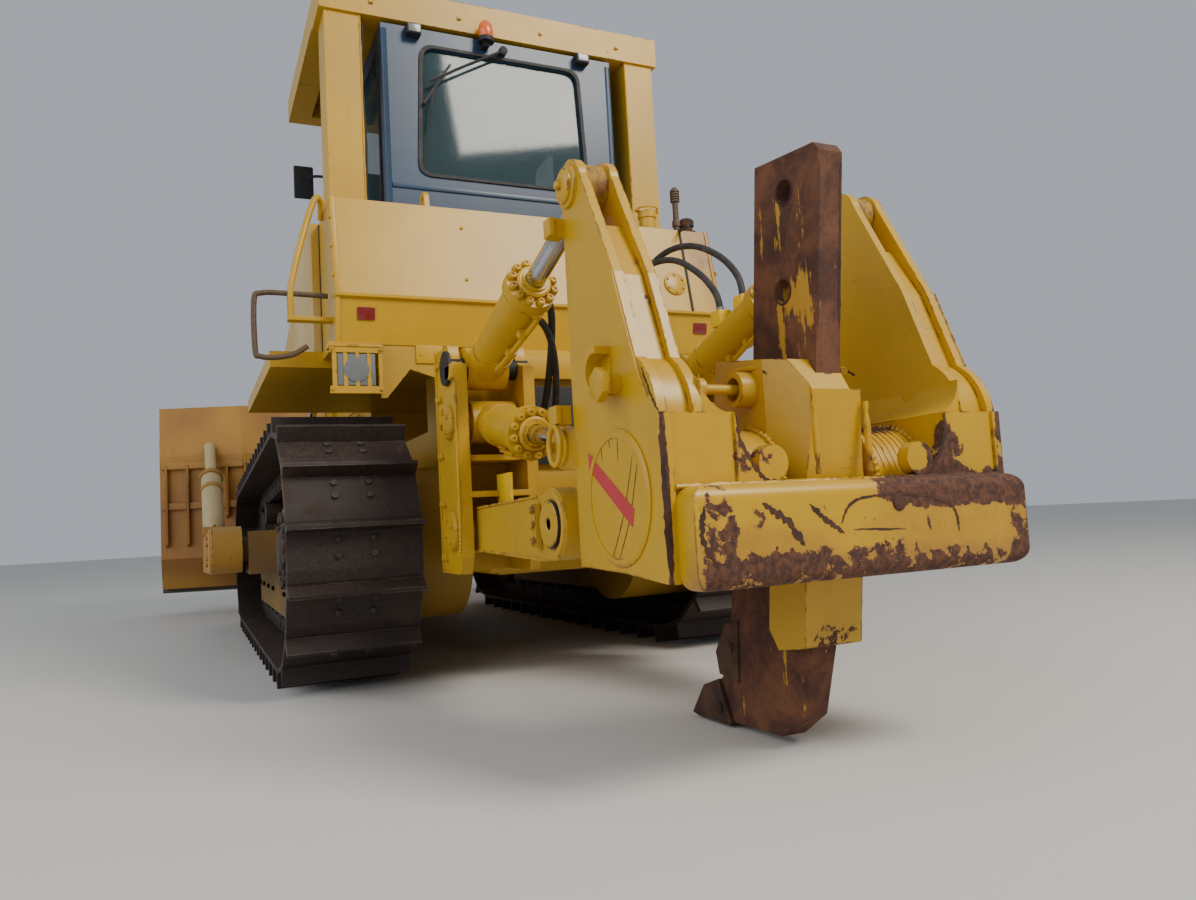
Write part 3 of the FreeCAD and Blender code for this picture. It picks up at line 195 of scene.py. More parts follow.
def painted_steel(name, paint, dull, wear=0.5, dirt=0.5, gloss=0.4, shift=0.0, zones=(), stains=(), scratch=0.3):
    """Enamel on steel: faded patches, dust, scratches, and rust where the paint has chipped.
    Zones are worn places and stains are browned places: centre, reach, strength."""
    material, tree, shader = start_material(name)
    where = place_in(tree, shift=(shift, shift * 0.7, -shift))
    true_place = place_in(tree)
    fade = band(tree, noise(tree, where, 0.9, 4.0, 0.5), 0.36, 0.66)
    colour = blend_colour(tree, fade, paint, dull)
    mottle = band(tree, noise(tree, where, 7.0, 6.0, 0.6), 0.30, 0.75, 0.0, 0.28)
    colour = blend_colour(tree, mottle, colour, tuple(v * 0.72 for v in paint))
    fine = noise(tree, where, 46.0, 5.0, 0.65)
    clusters = noise(tree, where, 1.9, 3.0, 0.5)
    spots = noise(tree, where, 17.0, 7.0, 0.66, 0.35)
    ragged = math_node(tree, "SUBTRACT", noise(tree, true_place, 7.5, 6.0, 0.7, 0.8), 0.5, clamp=False)
    edge = edges_of(tree)
    streak_place = place_in(tree, (1.0, 1.0, 0.09), shift=(shift, 0, 0))
    streaks = band(tree, noise(tree, streak_place, 13.0, 5.0, 0.6), 0.56, 0.80, 0.0, 0.34 * dirt)
    colour = blend_colour(tree, streaks, colour, (0.17, 0.085, 0.022))
    grime = times(tree, band(tree, noise(tree, where, 2.6, 8.0, 0.7), 0.50, 0.78), 0.38 * dirt)
    colour = blend_colour(tree, grime, colour, (0.20, 0.115, 0.035))
    settled = times(tree, facing_up(tree), band(tree, fine, 0.25, 0.7, 0.15 * dirt, 0.55 * dirt))
    colour = blend_colour(tree, settled, colour, (0.36, 0.25, 0.09))
    value = total(
        tree, math_node(tree, "MULTIPLY", clusters, 0.40), math_node(tree, "MULTIPLY", spots, 0.60),
        math_node(tree, "MULTIPLY", edge, 0.13),
    )
    for centre, reach, strength in zones:
        share = zone(tree, true_place, (centre[0] + SPROCKET, *centre[1:]), reach, ragged)
        value = total(tree, value, math_node(tree, "MULTIPLY", share, strength))
    for centre, reach, strength in stains:
        share = zone(tree, true_place, (centre[0] + SPROCKET, *centre[1:]), reach, ragged)
        tone = blend_colour(tree, band(tree, spots, 0.3, 0.7), (0.22, 0.085, 0.02), (0.40, 0.19, 0.035))
        colour = blend_colour(tree, times(tree, share, strength), colour, tone)
    level = 0.715 - 0.07 * wear
    chips = band(tree, value, level, level + 0.012)
    halo = band(tree, value, level - 0.055, level + 0.01, 0.0, 0.42)
    rust_tone = blend_colour(tree, band(tree, fine, 0.35, 0.65), (0.050, 0.020, 0.014), (0.135, 0.052, 0.024))
    colour = blend_colour(tree, halo, colour, (0.38, 0.17, 0.03))
    colour = blend_colour(tree, chips, colour, rust_tone)
    scored = place_in(tree, (1.0, 0.05, 1.0), (0.5, 0.2, 0.3))
    lines = band(tree, noise(tree, scored, 46.0, 2.0, 0.5), 0.735, 0.75, 0.0, 0.6 * scratch)
    colour = blend_colour(tree, lines, colour, (0.11, 0.05, 0.02))
    tree.links.new(colour, shader.inputs["Base Color"])
    dullness = total(tree, chips, times(tree, settled, 0.8), grime)
    tree.links.new(band(tree, dullness, 0.0, 1.0, gloss, 0.88), shader.inputs["Roughness"])
    relief = math_node(tree, "SUBTRACT", math_node(tree, "MULTIPLY", fine, 0.12), times(tree, chips, 0.6))
    bump(tree, shader, relief, 0.4, 0.003)
    return material


def rusty_steel(name, dark, light, paint=None, paint_share=0.5, rough=0.85, metal=0.0, zones=()):
    """Bare steel gone brown, with vertical streaks of the paint that is left. Zones keep more of the paint."""
    material, tree, shader = start_material(name)
    where = place_in(tree)
    long_way = place_in(tree, (1.0, 1.0, 0.10))
    coarse = noise(tree, where, 5.0, 8.0, 0.7, 0.4)
    fine = noise(tree, where, 48.0, 8.0, 0.75)
    colour = blend_colour(tree, band(tree, coarse, 0.36, 0.66), dark, light)
    colour = blend_colour(tree, band(tree, fine, 0.5, 0.75, 0.0, 0.6), colour, tuple(v * 0.55 for v in dark))
    if paint:
        ragged = math_node(tree, "SUBTRACT", noise(tree, where, 9.0, 6.0, 0.7, 0.8), 0.5, clamp=False)
        left = math_node(tree, "MULTIPLY", noise(tree, long_way, 15.0, 6.0, 0.65), 0.75)
        left = total(tree, left, math_node(tree, "MULTIPLY", noise(tree, where, 13.0, 6.0, 0.7), 0.25))
        for centre, reach, strength in zones:
            share = zone(tree, where, (centre[0] + SPROCKET, *centre[1:]), reach, ragged)
            left = total(tree, left, math_node(tree, "MULTIPLY", share, strength))
        level = 0.66 - 0.12 * paint_share
        colour = blend_colour(tree, band(tree, left, level, level + 0.035, 0.0, 0.9), colour, paint)
    tree.links.new(colour, shader.inputs["Base Color"])
    shader.inputs["Metallic"].default_value = metal
    shader.inputs["Roughness"].default_value = rough
    relief = total(tree, math_node(tree, "MULTIPLY", fine, 0.5), math_node(tree, "MULTIPLY", coarse, 0.5))
    bump(tree, shader, relief, 0.5, 0.005)
    return material


def worn_steel(name, base, earth, polish=0.4, earth_share=0.5, metal=0.25):
    """Track and wear steel: dark, dry earth in the hollows, bare metal on the edges."""
    material, tree, shader = start_material(name)
    where = place_in(tree)
    coarse = noise(tree, where, 3.5, 8.0, 0.66, 0.5)
    fine = noise(tree, where, 60.0, 8.0, 0.7)
    colour = blend_colour(tree, band(tree, fine, 0.38, 0.68), base, tuple(v * 1.9 for v in base))
    caked = band(tree, coarse, 0.62 - 0.15 * earth_share, 0.75 - 0.12 * earth_share)
    colour = blend_colour(tree, times(tree, caked, 0.7), colour, earth)
    settled = times(tree, facing_up(tree), band(tree, fine, 0.3, 0.7, 0.1, 0.6 * earth_share))
    colour = blend_colour(tree, settled, colour, tuple(v * 1.3 for v in earth))
    bare = times(tree, times(tree, edges_of(tree, 0.008), band(tree, coarse, 0.4, 0.6)), polish)
    colour = blend_colour(tree, bare, colour, (0.26, 0.22, 0.19))
    tree.links.new(colour, shader.inputs["Base Color"])
    shader.inputs["Metallic"].default_value = metal
    tree.links.new(band(tree, total(tree, caked, fine), 0.0, 1.5, 0.5, 0.95), shader.inputs["Roughness"])
    relief = total(tree, math_node(tree, "MULTIPLY", fine, 0.4), math_node(tree, "MULTIPLY", coarse, 0.6))
    bump(tree, shader, relief, 0.6, 0.006)
    return material


def chrome_rod(name, eyes, paint):
    """Hard chrome with a film of oil and dust. Its painted eyes are places: centre, reach."""
    material, tree, shader = start_material(name)
    where = place_in(tree)
    film = band(tree, noise(tree, where, 7.0, 7.0, 0.6), 0.45, 0.75)
    colour = blend_colour(tree, film, (0.60, 0.60, 0.61), (0.30, 0.27, 0.24))
    spots = noise(tree, where, 21.0, 7.0, 0.7)
    ragged = math_node(tree, "SUBTRACT", spots, 0.5, clamp=False)
    painted = None
    for centre, reach in eyes:
        for side in (1, -1):
            spot = (centre[0] + SPROCKET, centre[1] * side, centre[2])
            share = zone(tree, where, spot, (reach, 0.2, reach), math_node(tree, "MULTIPLY", ragged, 0.05))
            painted = share if painted is None else math_node(tree, "MAXIMUM", painted, share)
    coat = blend_colour(tree, band(tree, spots, 0.46, 0.60), paint, (0.20, 0.085, 0.02))
    colour = blend_colour(tree, painted, colour, coat)
    tree.links.new(colour, shader.inputs["Base Color"])
    tree.links.new(math_node(tree, "SUBTRACT", 1.0, painted), shader.inputs["Metallic"])
    roughness = math_node(tree, "MAXIMUM", band(tree, film, 0.0, 1.0, 0.13, 0.4), times(tree, painted, 0.7))
    tree.links.new(roughness, shader.inputs["Roughness"])
    return material


def rubber(name, tone=0.022):
    """Hose and seal rubber, dusty."""
    material, tree, shader = start_material(name)
    where = place_in(tree)
    dust = band(tree, noise(tree, where, 14.0, 8.0, 0.7), 0.42, 0.8)
    tree.links.new(blend_colour(tree, dust, (tone, tone, tone), (0.085, 0.065, 0.05)), shader.inputs["Base Color"])
    shader.inputs["Roughness"].default_value = 0.68
    bump(tree, shader, noise(tree, where, 220.0, 3.0), 0.2, 0.001)
    return material


def woven_cloth(name, tone):
    """Seat cloth with a fine weave."""
    material, tree, shader = start_material(name)
    where = place_in(tree)
    weave = noise(tree, where, 420.0, 2.0, 0.4)
    worn = band(tree, noise(tree, where, 6.0, 5.0), 0.4, 0.7)
    tree.links.new(blend_colour(tree, worn, tone, tuple(v * 2.0 for v in tone)), shader.inputs["Base Color"])
    shader.inputs["Roughness"].default_value = 0.95
    shader.inputs["Sheen Weight"].default_value = 0.3
    bump(tree, shader, weave, 0.5, 0.001)
    return material


def window_glass(name, tint):
    """Tinted pane with a smooth film of dust."""
    material, tree, shader = start_material(name)
    where = place_in(tree)
    dust = band(tree, noise(tree, where, 1.4, 4.0, 0.5), 0.35, 0.85)
    tree.links.new(blend_colour(tree, dust, tint, (0.035, 0.055, 0.06)), shader.inputs["Base Color"])
    shader.inputs["Roughness"].default_value = 0.05
    shader.inputs["IOR"].default_value = 1.5
    tree.links.new(band(tree, dust, 0.0, 1.0, 0.66, 0.76), shader.inputs["Alpha"])
    return material


def lens(name, tone):
    """Coloured lamp lens or tape with dust."""
    material, tree, shader = start_material(name)
    where = place_in(tree)
    dust = band(tree, noise(tree, where, 20.0, 6.0), 0.50, 0.9, 0.0, 0.5)
    colour = blend_colour(tree, dust, tone, tuple(0.6 * v + 0.10 for v in tone))
    tree.links.new(colour, shader.inputs["Base Color"])
    shader.inputs["Roughness"].default_value = 0.25
    shader.inputs["Coat Weight"].default_value = 0.4
    return material


def ground_paint(name, tone):
    """Plain pale studio floor."""
    material, tree, shader = start_material(name)
    shader.inputs["Base Color"].default_value = (*tone, 1.0)
    shader.inputs["Roughness"].default_value = 0.9
    return material


# Sizes and colours


class DozerColours(bpy.types.PropertyGroup):
    """Colours a user would change."""

    yellow: FloatVectorProperty(
        name="Yellow", description="Body paint", subtype="COLOR", size=3, default=(0.60, 0.338, 0.004), min=0, max=1,
    )
    yellow_faded: FloatVectorProperty(
        name="Faded yellow", description="Body paint where it has dulled", subtype="COLOR", size=3,
        default=(0.50, 0.285, 0.014), min=0, max=1,
    )
    cab: FloatVectorProperty(
        name="Cab blue", description="Dark paint of the cab", subtype="COLOR", size=3,
        default=(0.017, 0.042, 0.085), min=0, max=1,
    )
    floor: FloatVectorProperty(
        name="Floor", description="Studio floor", subtype="COLOR", size=3, default=(0.60, 0.58, 0.54), min=0, max=1,
    )


class DozerFastenings(bpy.types.PropertyGroup):
    """Sizes of the fastenings and hoses."""

    bolt: FloatProperty(
        name="Bolt", description="Width across a round bolt head of a flange", unit="LENGTH", default=0.036, min=0.01,
        max=0.08,
    )
    flange_bolts: IntProperty(
        name="Flange bolts", description="Bolts round each cylinder flange", default=12, min=4, max=24,
    )
    hose: FloatProperty(
        name="Hose", description="Width of a ripper hose", unit="LENGTH", default=0.038, min=0.01, max=0.08,
    )


FINISHES = {}

# Worn places on the ripper beam: centre, reach, strength
BEAM_WEAR = (
    ((-3.225, -0.42, 0.935), (0.16, 0.34, 0.075), 0.36),
    ((-3.235, -0.66, 0.80), (0.20, 0.06, 0.22), 0.22),
    ((-3.225, 0.0, 0.655), (0.10, 0.80, 0.085), 0.20),
    ((-3.24, 0.62, 0.82), (0.06, 0.07, 0.20), 0.17),
    ((-3.24, 0.36, 0.82), (0.06, 0.16, 0.13), 0.10),
    ((-3.24, -0.05, 0.84), (0.06, 0.26, 0.09), 0.10),
    ((-3.18, 0.30, 0.965), (0.09, 0.45, 0.02), 0.07),
    ((-3.12, 0.40, 1.06), (0.06, 0.08, 0.07), 0.20),
    ((-3.12, -0.43, 1.06), (0.06, 0.10, 0.11), 0.24),
    ((-2.80, -0.31, 1.17), (0.14, 0.14, 0.05), 0.24),
    ((-3.13, 0.726, 0.95), (0.018, 0.018, 0.36), 0.30),
    ((-3.13, -0.726, 0.95), (0.03, 0.03, 0.36), 0.26),
    ((-2.90, 0.735, 1.10), (0.09, 0.03, 0.12), 0.10),
    ((-2.70, 0.735, 1.03), (0.16, 0.03, 0.05), 0.06),
    ((-2.52, 0.735, 0.70), (0.5, 0.05, 0.06), 0.12),
    ((-2.80, 0.60, 1.62), (0.12, 0.05, 0.20), 0.07),
    ((-3.09, 0.0, 1.02), (0.05, 0.26, 0.045), 0.12),
    ((-3.05, -0.14, 1.30), (0.16, 0.07, 0.05), 0.12),
    ((-3.18, 0.0, 0.42), (0.2, 0.15, 0.08), 0.18),
)
TANK_STAINS = (
    ((-0.30, -1.20, 2.72), (0.22, 0.14, 0.20), 0.75),
    ((-0.36, -1.22, 2.50), (0.20, 0.06, 0.30), 0.40),
)


def finish_of(name):
    """A finish made once and shared."""
    if name in FINISHES:
        return FINISHES[name]
    tones = bpy.context.scene.dozer_colours
    yellow, faded, navy = tuple(tones.yellow), tuple(tones.yellow_faded), tuple(tones.cab)
    rod_eyes = (((-2.52, 0.643, 2.14), 0.14), ((-2.32, 0.618, 1.165), 0.12), ((5.88, 0.79, 1.0), 0.13))
    recipes = {
        "yellow": lambda: painted_steel("weathered_yellow", yellow, faded, 0.45, 0.6, 0.4),
        "yellow_ripper": lambda: painted_steel(
            "scraped_yellow", yellow, tuple(v * 0.92 for v in yellow), 0.62, 0.5, 0.36, 3.1, BEAM_WEAR, (
                ((-3.235, -0.45, 0.80), (0.1, 0.42, 0.12), 0.40), ((-3.235, 0.45, 0.74), (0.1, 0.25, 0.08), 0.45),
                ((-3.22, 0.0, 0.66), (0.1, 0.9, 0.07), 0.5),
            ), 0.8,
        ),
        "yellow_arm": lambda: painted_steel("arm_yellow", yellow, faded, 0.5, 0.9, 0.5, 4.6),
        "yellow_tank": lambda: painted_steel(
            "upper_yellow", yellow, faded, -0.25, 0.22, 0.36, 7.7, (((-0.42, -1.22, 2.80), (0.25, 0.10, 0.10), 0.10),),
            TANK_STAINS, 0.1,
        ),
        "yellow_clean": lambda: painted_steel(
            "side_yellow", tuple(v * 1.05 for v in faded), (0.62, 0.46, 0.20), 0.0, 0.35, 0.42, 2.7,
        ),
        "yellow_posts": lambda: painted_steel("post_yellow", yellow, faded, 0.35, 0.5, 0.4, 6.1, scratch=0.9),
        "yellow_bright": lambda: painted_steel("guard_yellow", (0.86, 0.56, 0.01), (0.80, 0.50, 0.01), 0.1, 0.2),
        "yellow_blade": lambda: painted_steel(
            "blade_yellow", (0.50, 0.25, 0.035), (0.34, 0.145, 0.03), 0.80, 0.9, 0.6, 5.2, scratch=1.0,
        ),
        "yellow_low": lambda: painted_steel(
            "muddy_yellow", tuple(v * 0.55 for v in yellow), (0.15, 0.075, 0.025), 0.9, 1.0, 0.6, 9.4, scratch=0.8,
        ),
        "navy": lambda: painted_steel("cab_navy", navy, tuple(v * 1.4 for v in navy), -0.9, 0.22, 0.34, 1.3, scratch=0.1),
        "track": lambda: worn_steel("track_steel", (0.026, 0.017, 0.014), (0.085, 0.050, 0.032), 0.55, 0.5),
        "link": lambda: worn_steel("link_steel", (0.036, 0.026, 0.021), (0.12, 0.075, 0.05), 0.9, 0.4, 0.4),
        "roller": lambda: worn_steel("roller_steel", (0.04, 0.028, 0.021), (0.12, 0.075, 0.045), 0.3, 0.7),
        "edge": lambda: worn_steel("cutting_steel", (0.06, 0.045, 0.04), (0.16, 0.09, 0.05), 0.8, 0.35),
        "shank": lambda: rusty_steel(
            "shank_rust", (0.060, 0.021, 0.013), (0.165, 0.062, 0.026), (0.50, 0.27, 0.02), 0.62, zones=(
                ((-3.20, 0.055, 1.62), (0.3, 0.03, 0.12), 0.10), ((-2.95, 0.055, 1.75), (0.12, 0.03, 0.5), 0.06),
            ),
        ),
        "point": lambda: rusty_steel("point_rust", (0.045, 0.020, 0.013), (0.12, 0.06, 0.032), None, 0, 0.7, 0.3),
        "brown": lambda: rusty_steel("chipped_brown", (0.038, 0.016, 0.012), (0.095, 0.036, 0.018)),
        "dark": lambda: worn_steel("dark_steel", (0.018, 0.018, 0.019), (0.06, 0.045, 0.032), 0.2, 0.3),
        "cream": lambda: painted_steel("cream_paint", (0.58, 0.46, 0.22), (0.46, 0.35, 0.16), 0.5, 0.6, 0.45, 2.2),
        "chrome": lambda: chrome_rod("rod_chrome", rod_eyes, tuple(v * 0.75 for v in faded)),
        "fitting": lambda: worn_steel("fitting_steel", (0.16, 0.155, 0.15), (0.16, 0.11, 0.07), 0.4, 0.2, 0.8),
        "rubber": lambda: rubber("hose_rubber"),
        "cloth": lambda: woven_cloth("seat_cloth", (0.022, 0.023, 0.026)),
        "glass": lambda: window_glass("cab_glass", (0.035, 0.075, 0.085)),
        "orange": lambda: lens("beacon_orange", (0.75, 0.13, 0.015)),
        "red": lambda: lens("reflector_red", (0.20, 0.010, 0.008)),
        "tape": lambda: lens("marker_tape", (0.52, 0.008, 0.008)),
        "clear": lambda: lens("lamp_clear", (0.16, 0.17, 0.17)),
        "bolt": lambda: worn_steel("bolt_steel", (0.085, 0.055, 0.03), (0.17, 0.10, 0.05), 0.5, 0.4),
    }
    FINISHES[name] = recipes[name]()
    return FINISHES[name]


# Mesh toolbox


class Pieces:
    """Collects shapes into one mesh, in stations from the sprocket axis."""

    def __init__(self):
        self.mesh = bmesh.new()

    def box(self, low, high, bevel=0.0, turn=None):
        """A box between two corners, with eased edges, turned about its centre."""
        made = bmesh.ops.create_cube(self.mesh, size=1.0)["verts"]
        size = [b - a for a, b in zip(low, high)]
        centre = Vector([(a + b) / 2 for a, b in zip(low, high)])
        bmesh.ops.scale(self.mesh, vec=size, verts=made)
        if bevel:
            edges = list({e for v in made for e in v.link_edges})
            result = bmesh.ops.bevel(self.mesh, geom=edges, offset=bevel, segments=2, profile=0.7, affect="EDGES")
            made = list({v for f in result["faces"] for v in f.verts} | {v for v in made if v.is_valid})
        matrix = Matrix.Translation(centre) @ (turn.to_4x4() if turn else Matrix.Identity(4))
        bmesh.ops.transform(self.mesh, matrix=matrix, verts=made)

    def lathe(self, profile, base, direction, steps=32, ring=False):
        """Turn a profile of (along, radius) about a line. A ring's profile closes on itself and leaves its middle open."""
        spin = Vector(direction).normalized().to_track_quat("Z", "X").to_matrix()
        rings = []
        for along, radius in profile:
            circle = []
            for i in range(steps):
                angle = 2 * math.pi * i / steps
                point = Vector((radius * math.cos(angle), radius * math.sin(angle), along))
                circle.append(self.mesh.verts.new(Vector(base) + spin @ point))
            rings.append(circle)
        self.skin(rings, ring)

    def skin(self, rings, closed=False):
        """Faces between rings of points, capped at both ends unless closed."""
        steps = len(rings[0])
        pairs = list(zip(rings, rings[1:])) + ([(rings[-1], rings[0])] if closed else [])
        for lower, upper in pairs:
            for i in range(steps):
                j = (i + 1) % steps
                self.mesh.faces.new((lower[i], lower[j], upper[j], upper[i]))
        if not closed:
            self.mesh.faces.new(list(reversed(rings[0])))
            self.mesh.faces.new(rings[-1])

    def bolt(self, place, direction, size=0.036):
        """Hexagon head on a washer."""
        self.lathe(((0, size * 0.68), (size * 0.12, size * 0.66)), place, direction, 12)
        head = Vector(place) + Vector(direction).normalized() * size * 0.1
        self.lathe(((0, size * 0.5), (size * 0.38, size * 0.5), (size * 0.45, size * 0.42)), head, direction, 6)

    def cap_screw(self, place, direction, size=0.036):
        """Round head with a domed rim."""
        r = size / 2
        profile = ((-0.002, r * 1.06), (r * 0.9, r), (r * 1.25, r * 0.82), (r * 1.3, r * 0.42), (r * 1.0, r * 0.36))
        self.lathe(profile, place, direction, 14)

    def ring_of_bolts(self, centre, direction, radius, count, size, start=0.0, kind="bolt"):
        """Bolts evenly round a circle."""
        spin = Vector(direction).normalized().to_track_quat("Z", "X").to_matrix()
        for i in range(count):
            angle = start + 2 * math.pi * i / count
            offset = spin @ Vector((radius * math.cos(angle), radius * math.sin(angle), 0))
            getattr(self, kind)(Vector(centre) + offset, direction, size)

    def tube(self, points, radius, steps=12, smooth=6, closed=False, pulse=0.0, pitch=0.02):
        """A round bar, pipe or weld bead along a smooth line. A bead swells at each pitch."""
        line = [Vector(p) for p in points]
        if smooth:
            line = smooth_line(line, smooth, closed)
        rings = []
        normal = None
        gone = 0.0
        for i, here in enumerate(line):
            before = line[i - 1] if closed or i else line[0]
            after = line[(i + 1) % len(line)] if closed or i + 1 < len(line) else line[-1]
            along = (after - before).normalized()
            if normal is None:
                normal = along.orthogonal().normalized()
            normal = (normal - along * normal.dot(along)).normalized()
            other = along.cross(normal)
            gone += (here - line[i - 1]).length if i else 0.0
            r = radius * (1 + pulse * math.sin(gone / pitch * 2 * math.pi))
            rings.append([
                self.mesh.verts.new(here + (normal * math.cos(a) + other * math.sin(a)) * r)
                for a in (2 * math.pi * k / steps for k in range(steps))
            ])
        self.skin(rings, closed)

    def slab(self, outline, low, high, axis="y", bevel=0.0):
        """A plate from an outline in the two axes other than its thickness."""
        def point(pair, depth):
            return Vector({"y": (pair[0], depth, pair[1]), "x": (depth, *pair), "z": (*pair, depth)}[axis])
        near = [self.mesh.verts.new(point(pair, low)) for pair in outline]
        far = [self.mesh.verts.new(point(pair, high)) for pair in outline]
        faces = [self.mesh.faces.new(near), self.mesh.faces.new(list(reversed(far)))]
        for i in range(len(outline)):
            j = (i + 1) % len(outline)
            faces.append(self.mesh.faces.new((near[j], near[i], far[i], far[j])))
        if bevel:
            edges = list({e for f in faces[:2] for e in f.edges})
            bmesh.ops.bevel(self.mesh, geom=edges, offset=bevel, segments=2, profile=0.7, affect="EDGES")

    def chipped_strip(self, points, width, normal, seed, thick=0.0008):
        """A thin patch of bared steel along a line, with a ragged width."""
        dice = random.Random(seed)
        line = smooth_line([Vector(p) for p in points], 14)
        up = Vector(normal).normalized()
        left, right = [], []
        for i, here in enumerate(line):
            along = (line[min(i + 1, len(line) - 1)] - line[max(i - 1, 0)]).normalized()
            across = along.cross(up).normalized()
            share = min(1.0, i / 5, (len(line) - 1 - i) / 5) * 0.8 + 0.1
            left.append(here + across * width * share * dice.uniform(0.25, 1.0) + up * thick)
            right.append(here - across * width * share * dice.uniform(0.25, 1.0) + up * thick)
        rings = []
        for a, b in zip(left, right):
            rings.append([self.mesh.verts.new(p) for p in (a, b, b - up * thick * 2, a - up * thick * 2)])
        self.skin(rings)

    def mirror(self):
        """Adds the same shapes on the other side of the machine."""
        both = bmesh.ops.duplicate(self.mesh, geom=self.mesh.verts[:] + self.mesh.edges[:] + self.mesh.faces[:])
        verts = [item for item in both["geom"] if isinstance(item, bmesh.types.BMVert)]
        bmesh.ops.scale(self.mesh, vec=(1, -1, 1), verts=verts)
        faces = [item for item in both["geom"] if isinstance(item, bmesh.types.BMFace)]
        bmesh.ops.reverse_faces(self.mesh, faces=faces)

    def finish(self, name, body, finish, slot, smooth=True):
        """Turn the collected shapes into an object that rides on a body."""
        bmesh.ops.translate(self.mesh, vec=(SPROCKET, 0, 0), verts=self.mesh.verts)
        bmesh.ops.recalc_face_normals(self.mesh, faces=self.mesh.faces)
        data = bpy.data.meshes.new(name)
        self.mesh.to_mesh(data)
        self.mesh.free()
        piece = bpy.data.objects.new(name, data)
        bpy.context.scene.collection.objects.link(piece)
        data.materials.append(finish_of(finish))
        if smooth:
            data.polygons.foreach_set("use_smooth", [True] * len(data.polygons))
            data.set_sharp_from_angle(angle=math.radians(32))
        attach(piece, body)
        return piece


def smooth_line(points, steps, closed=False):
    """A rounded line through points."""
    line = []
    count = len(points)
    spans = count if closed else count - 1
    for i in range(spans):
        if closed:
            a, b, c, d = (points[(i + k) % count] for k in (-1, 0, 1, 2))
        else:
            a, b, c, d = points[max(i - 1, 0)], points[i], points[i + 1], points[min(i + 2, count - 1)]
        for k in range(steps):
            t = k / steps
            line.append(0.5 * (
                2 * b + (c - a) * t + (2 * a - 5 * b + 4 * c - d) * t * t + (3 * b - a - 3 * c + d) * t * t * t
            ))
    return line if closed else line + [points[-1]]


YELLOW, STEEL, DARK = "yellow_paint", "worn_steel", "dark_steel"


# Finish of each CAD node
NODE_FINISHES = {
    "yellow": (
        "hull", "deck", "engine_panels", "engine_door_left", "engine_door_right", "hood", "radiator_guard",
        "ripper_bracket", "raise_barrels", "tilt_barrels", "lift_barrels", "pin_puller", "lamp_guards",
    ),
    "yellow_tank": ("fuel_tank",),
    "yellow_clean": ("side_boxes",),
    "yellow_posts": ("rollover_frame",),
    "yellow_ripper": ("ripper_beam",),
    "yellow_arm": ("ripper_arms",),
    "yellow_blade": ("blade", "push_arms"),
    "yellow_low": ("track_frames", "final_drives"),
    "navy": ("cab_shell", "cab_door_left", "cab_door_right"),
    "track": ("track_left", "track_right"),
    "roller": ("sprockets", "idlers", "track_rollers", "pivot_bars"),
    "edge": ("cutting_edge",),
    "shank": ("shank",),
    "point": ("shank_point",),
    "dark": ("engine", "radiator_grille", "stacks", "beam_pins", "tilt_pins"),
    "cream": ("braces",),
    "chrome": ("raise_rods", "tilt_rods", "lift_rods"),
    "cloth": ("cab_interior",),
    "glass": ("cab_glass",),
}


class DOZER_OT_finishes(bpy.types.Operator):
    """Give every piece of the frame its weathered finish"""

    bl_idname = "dozer.finishes"
    bl_label = "Frame finishes"

    def execute(self, context):
        for finish, names in NODE_FINISHES.items():
            for name in names:
                node = bpy.data.objects.get(name)
                if node is None:
                    raise RuntimeError(f"the frame has no {name}")
                node.data.materials.clear()
                node.data.materials.append(finish_of(finish))
        return {"FINISHED"}


# Cylinders: name, barrel body, base (x, z), eye (x, z), side, radius, rim, flange share, flange bolts
CYLINDERS = (
    ("tilt", "tilt_barrel", (-1.10, 1.69), (-2.52, 2.14), 0.643, 0.100, 0.121, 0.55),
    ("raise", "raise_barrel", (-1.10, 1.412), (-2.32, 1.165), 0.618, 0.102, 0.123, 0.52),
    ("lift", "lift_barrel", (4.40, 2.45), (5.88, 1.0), 0.790, 0.088, 0.108, None),
)


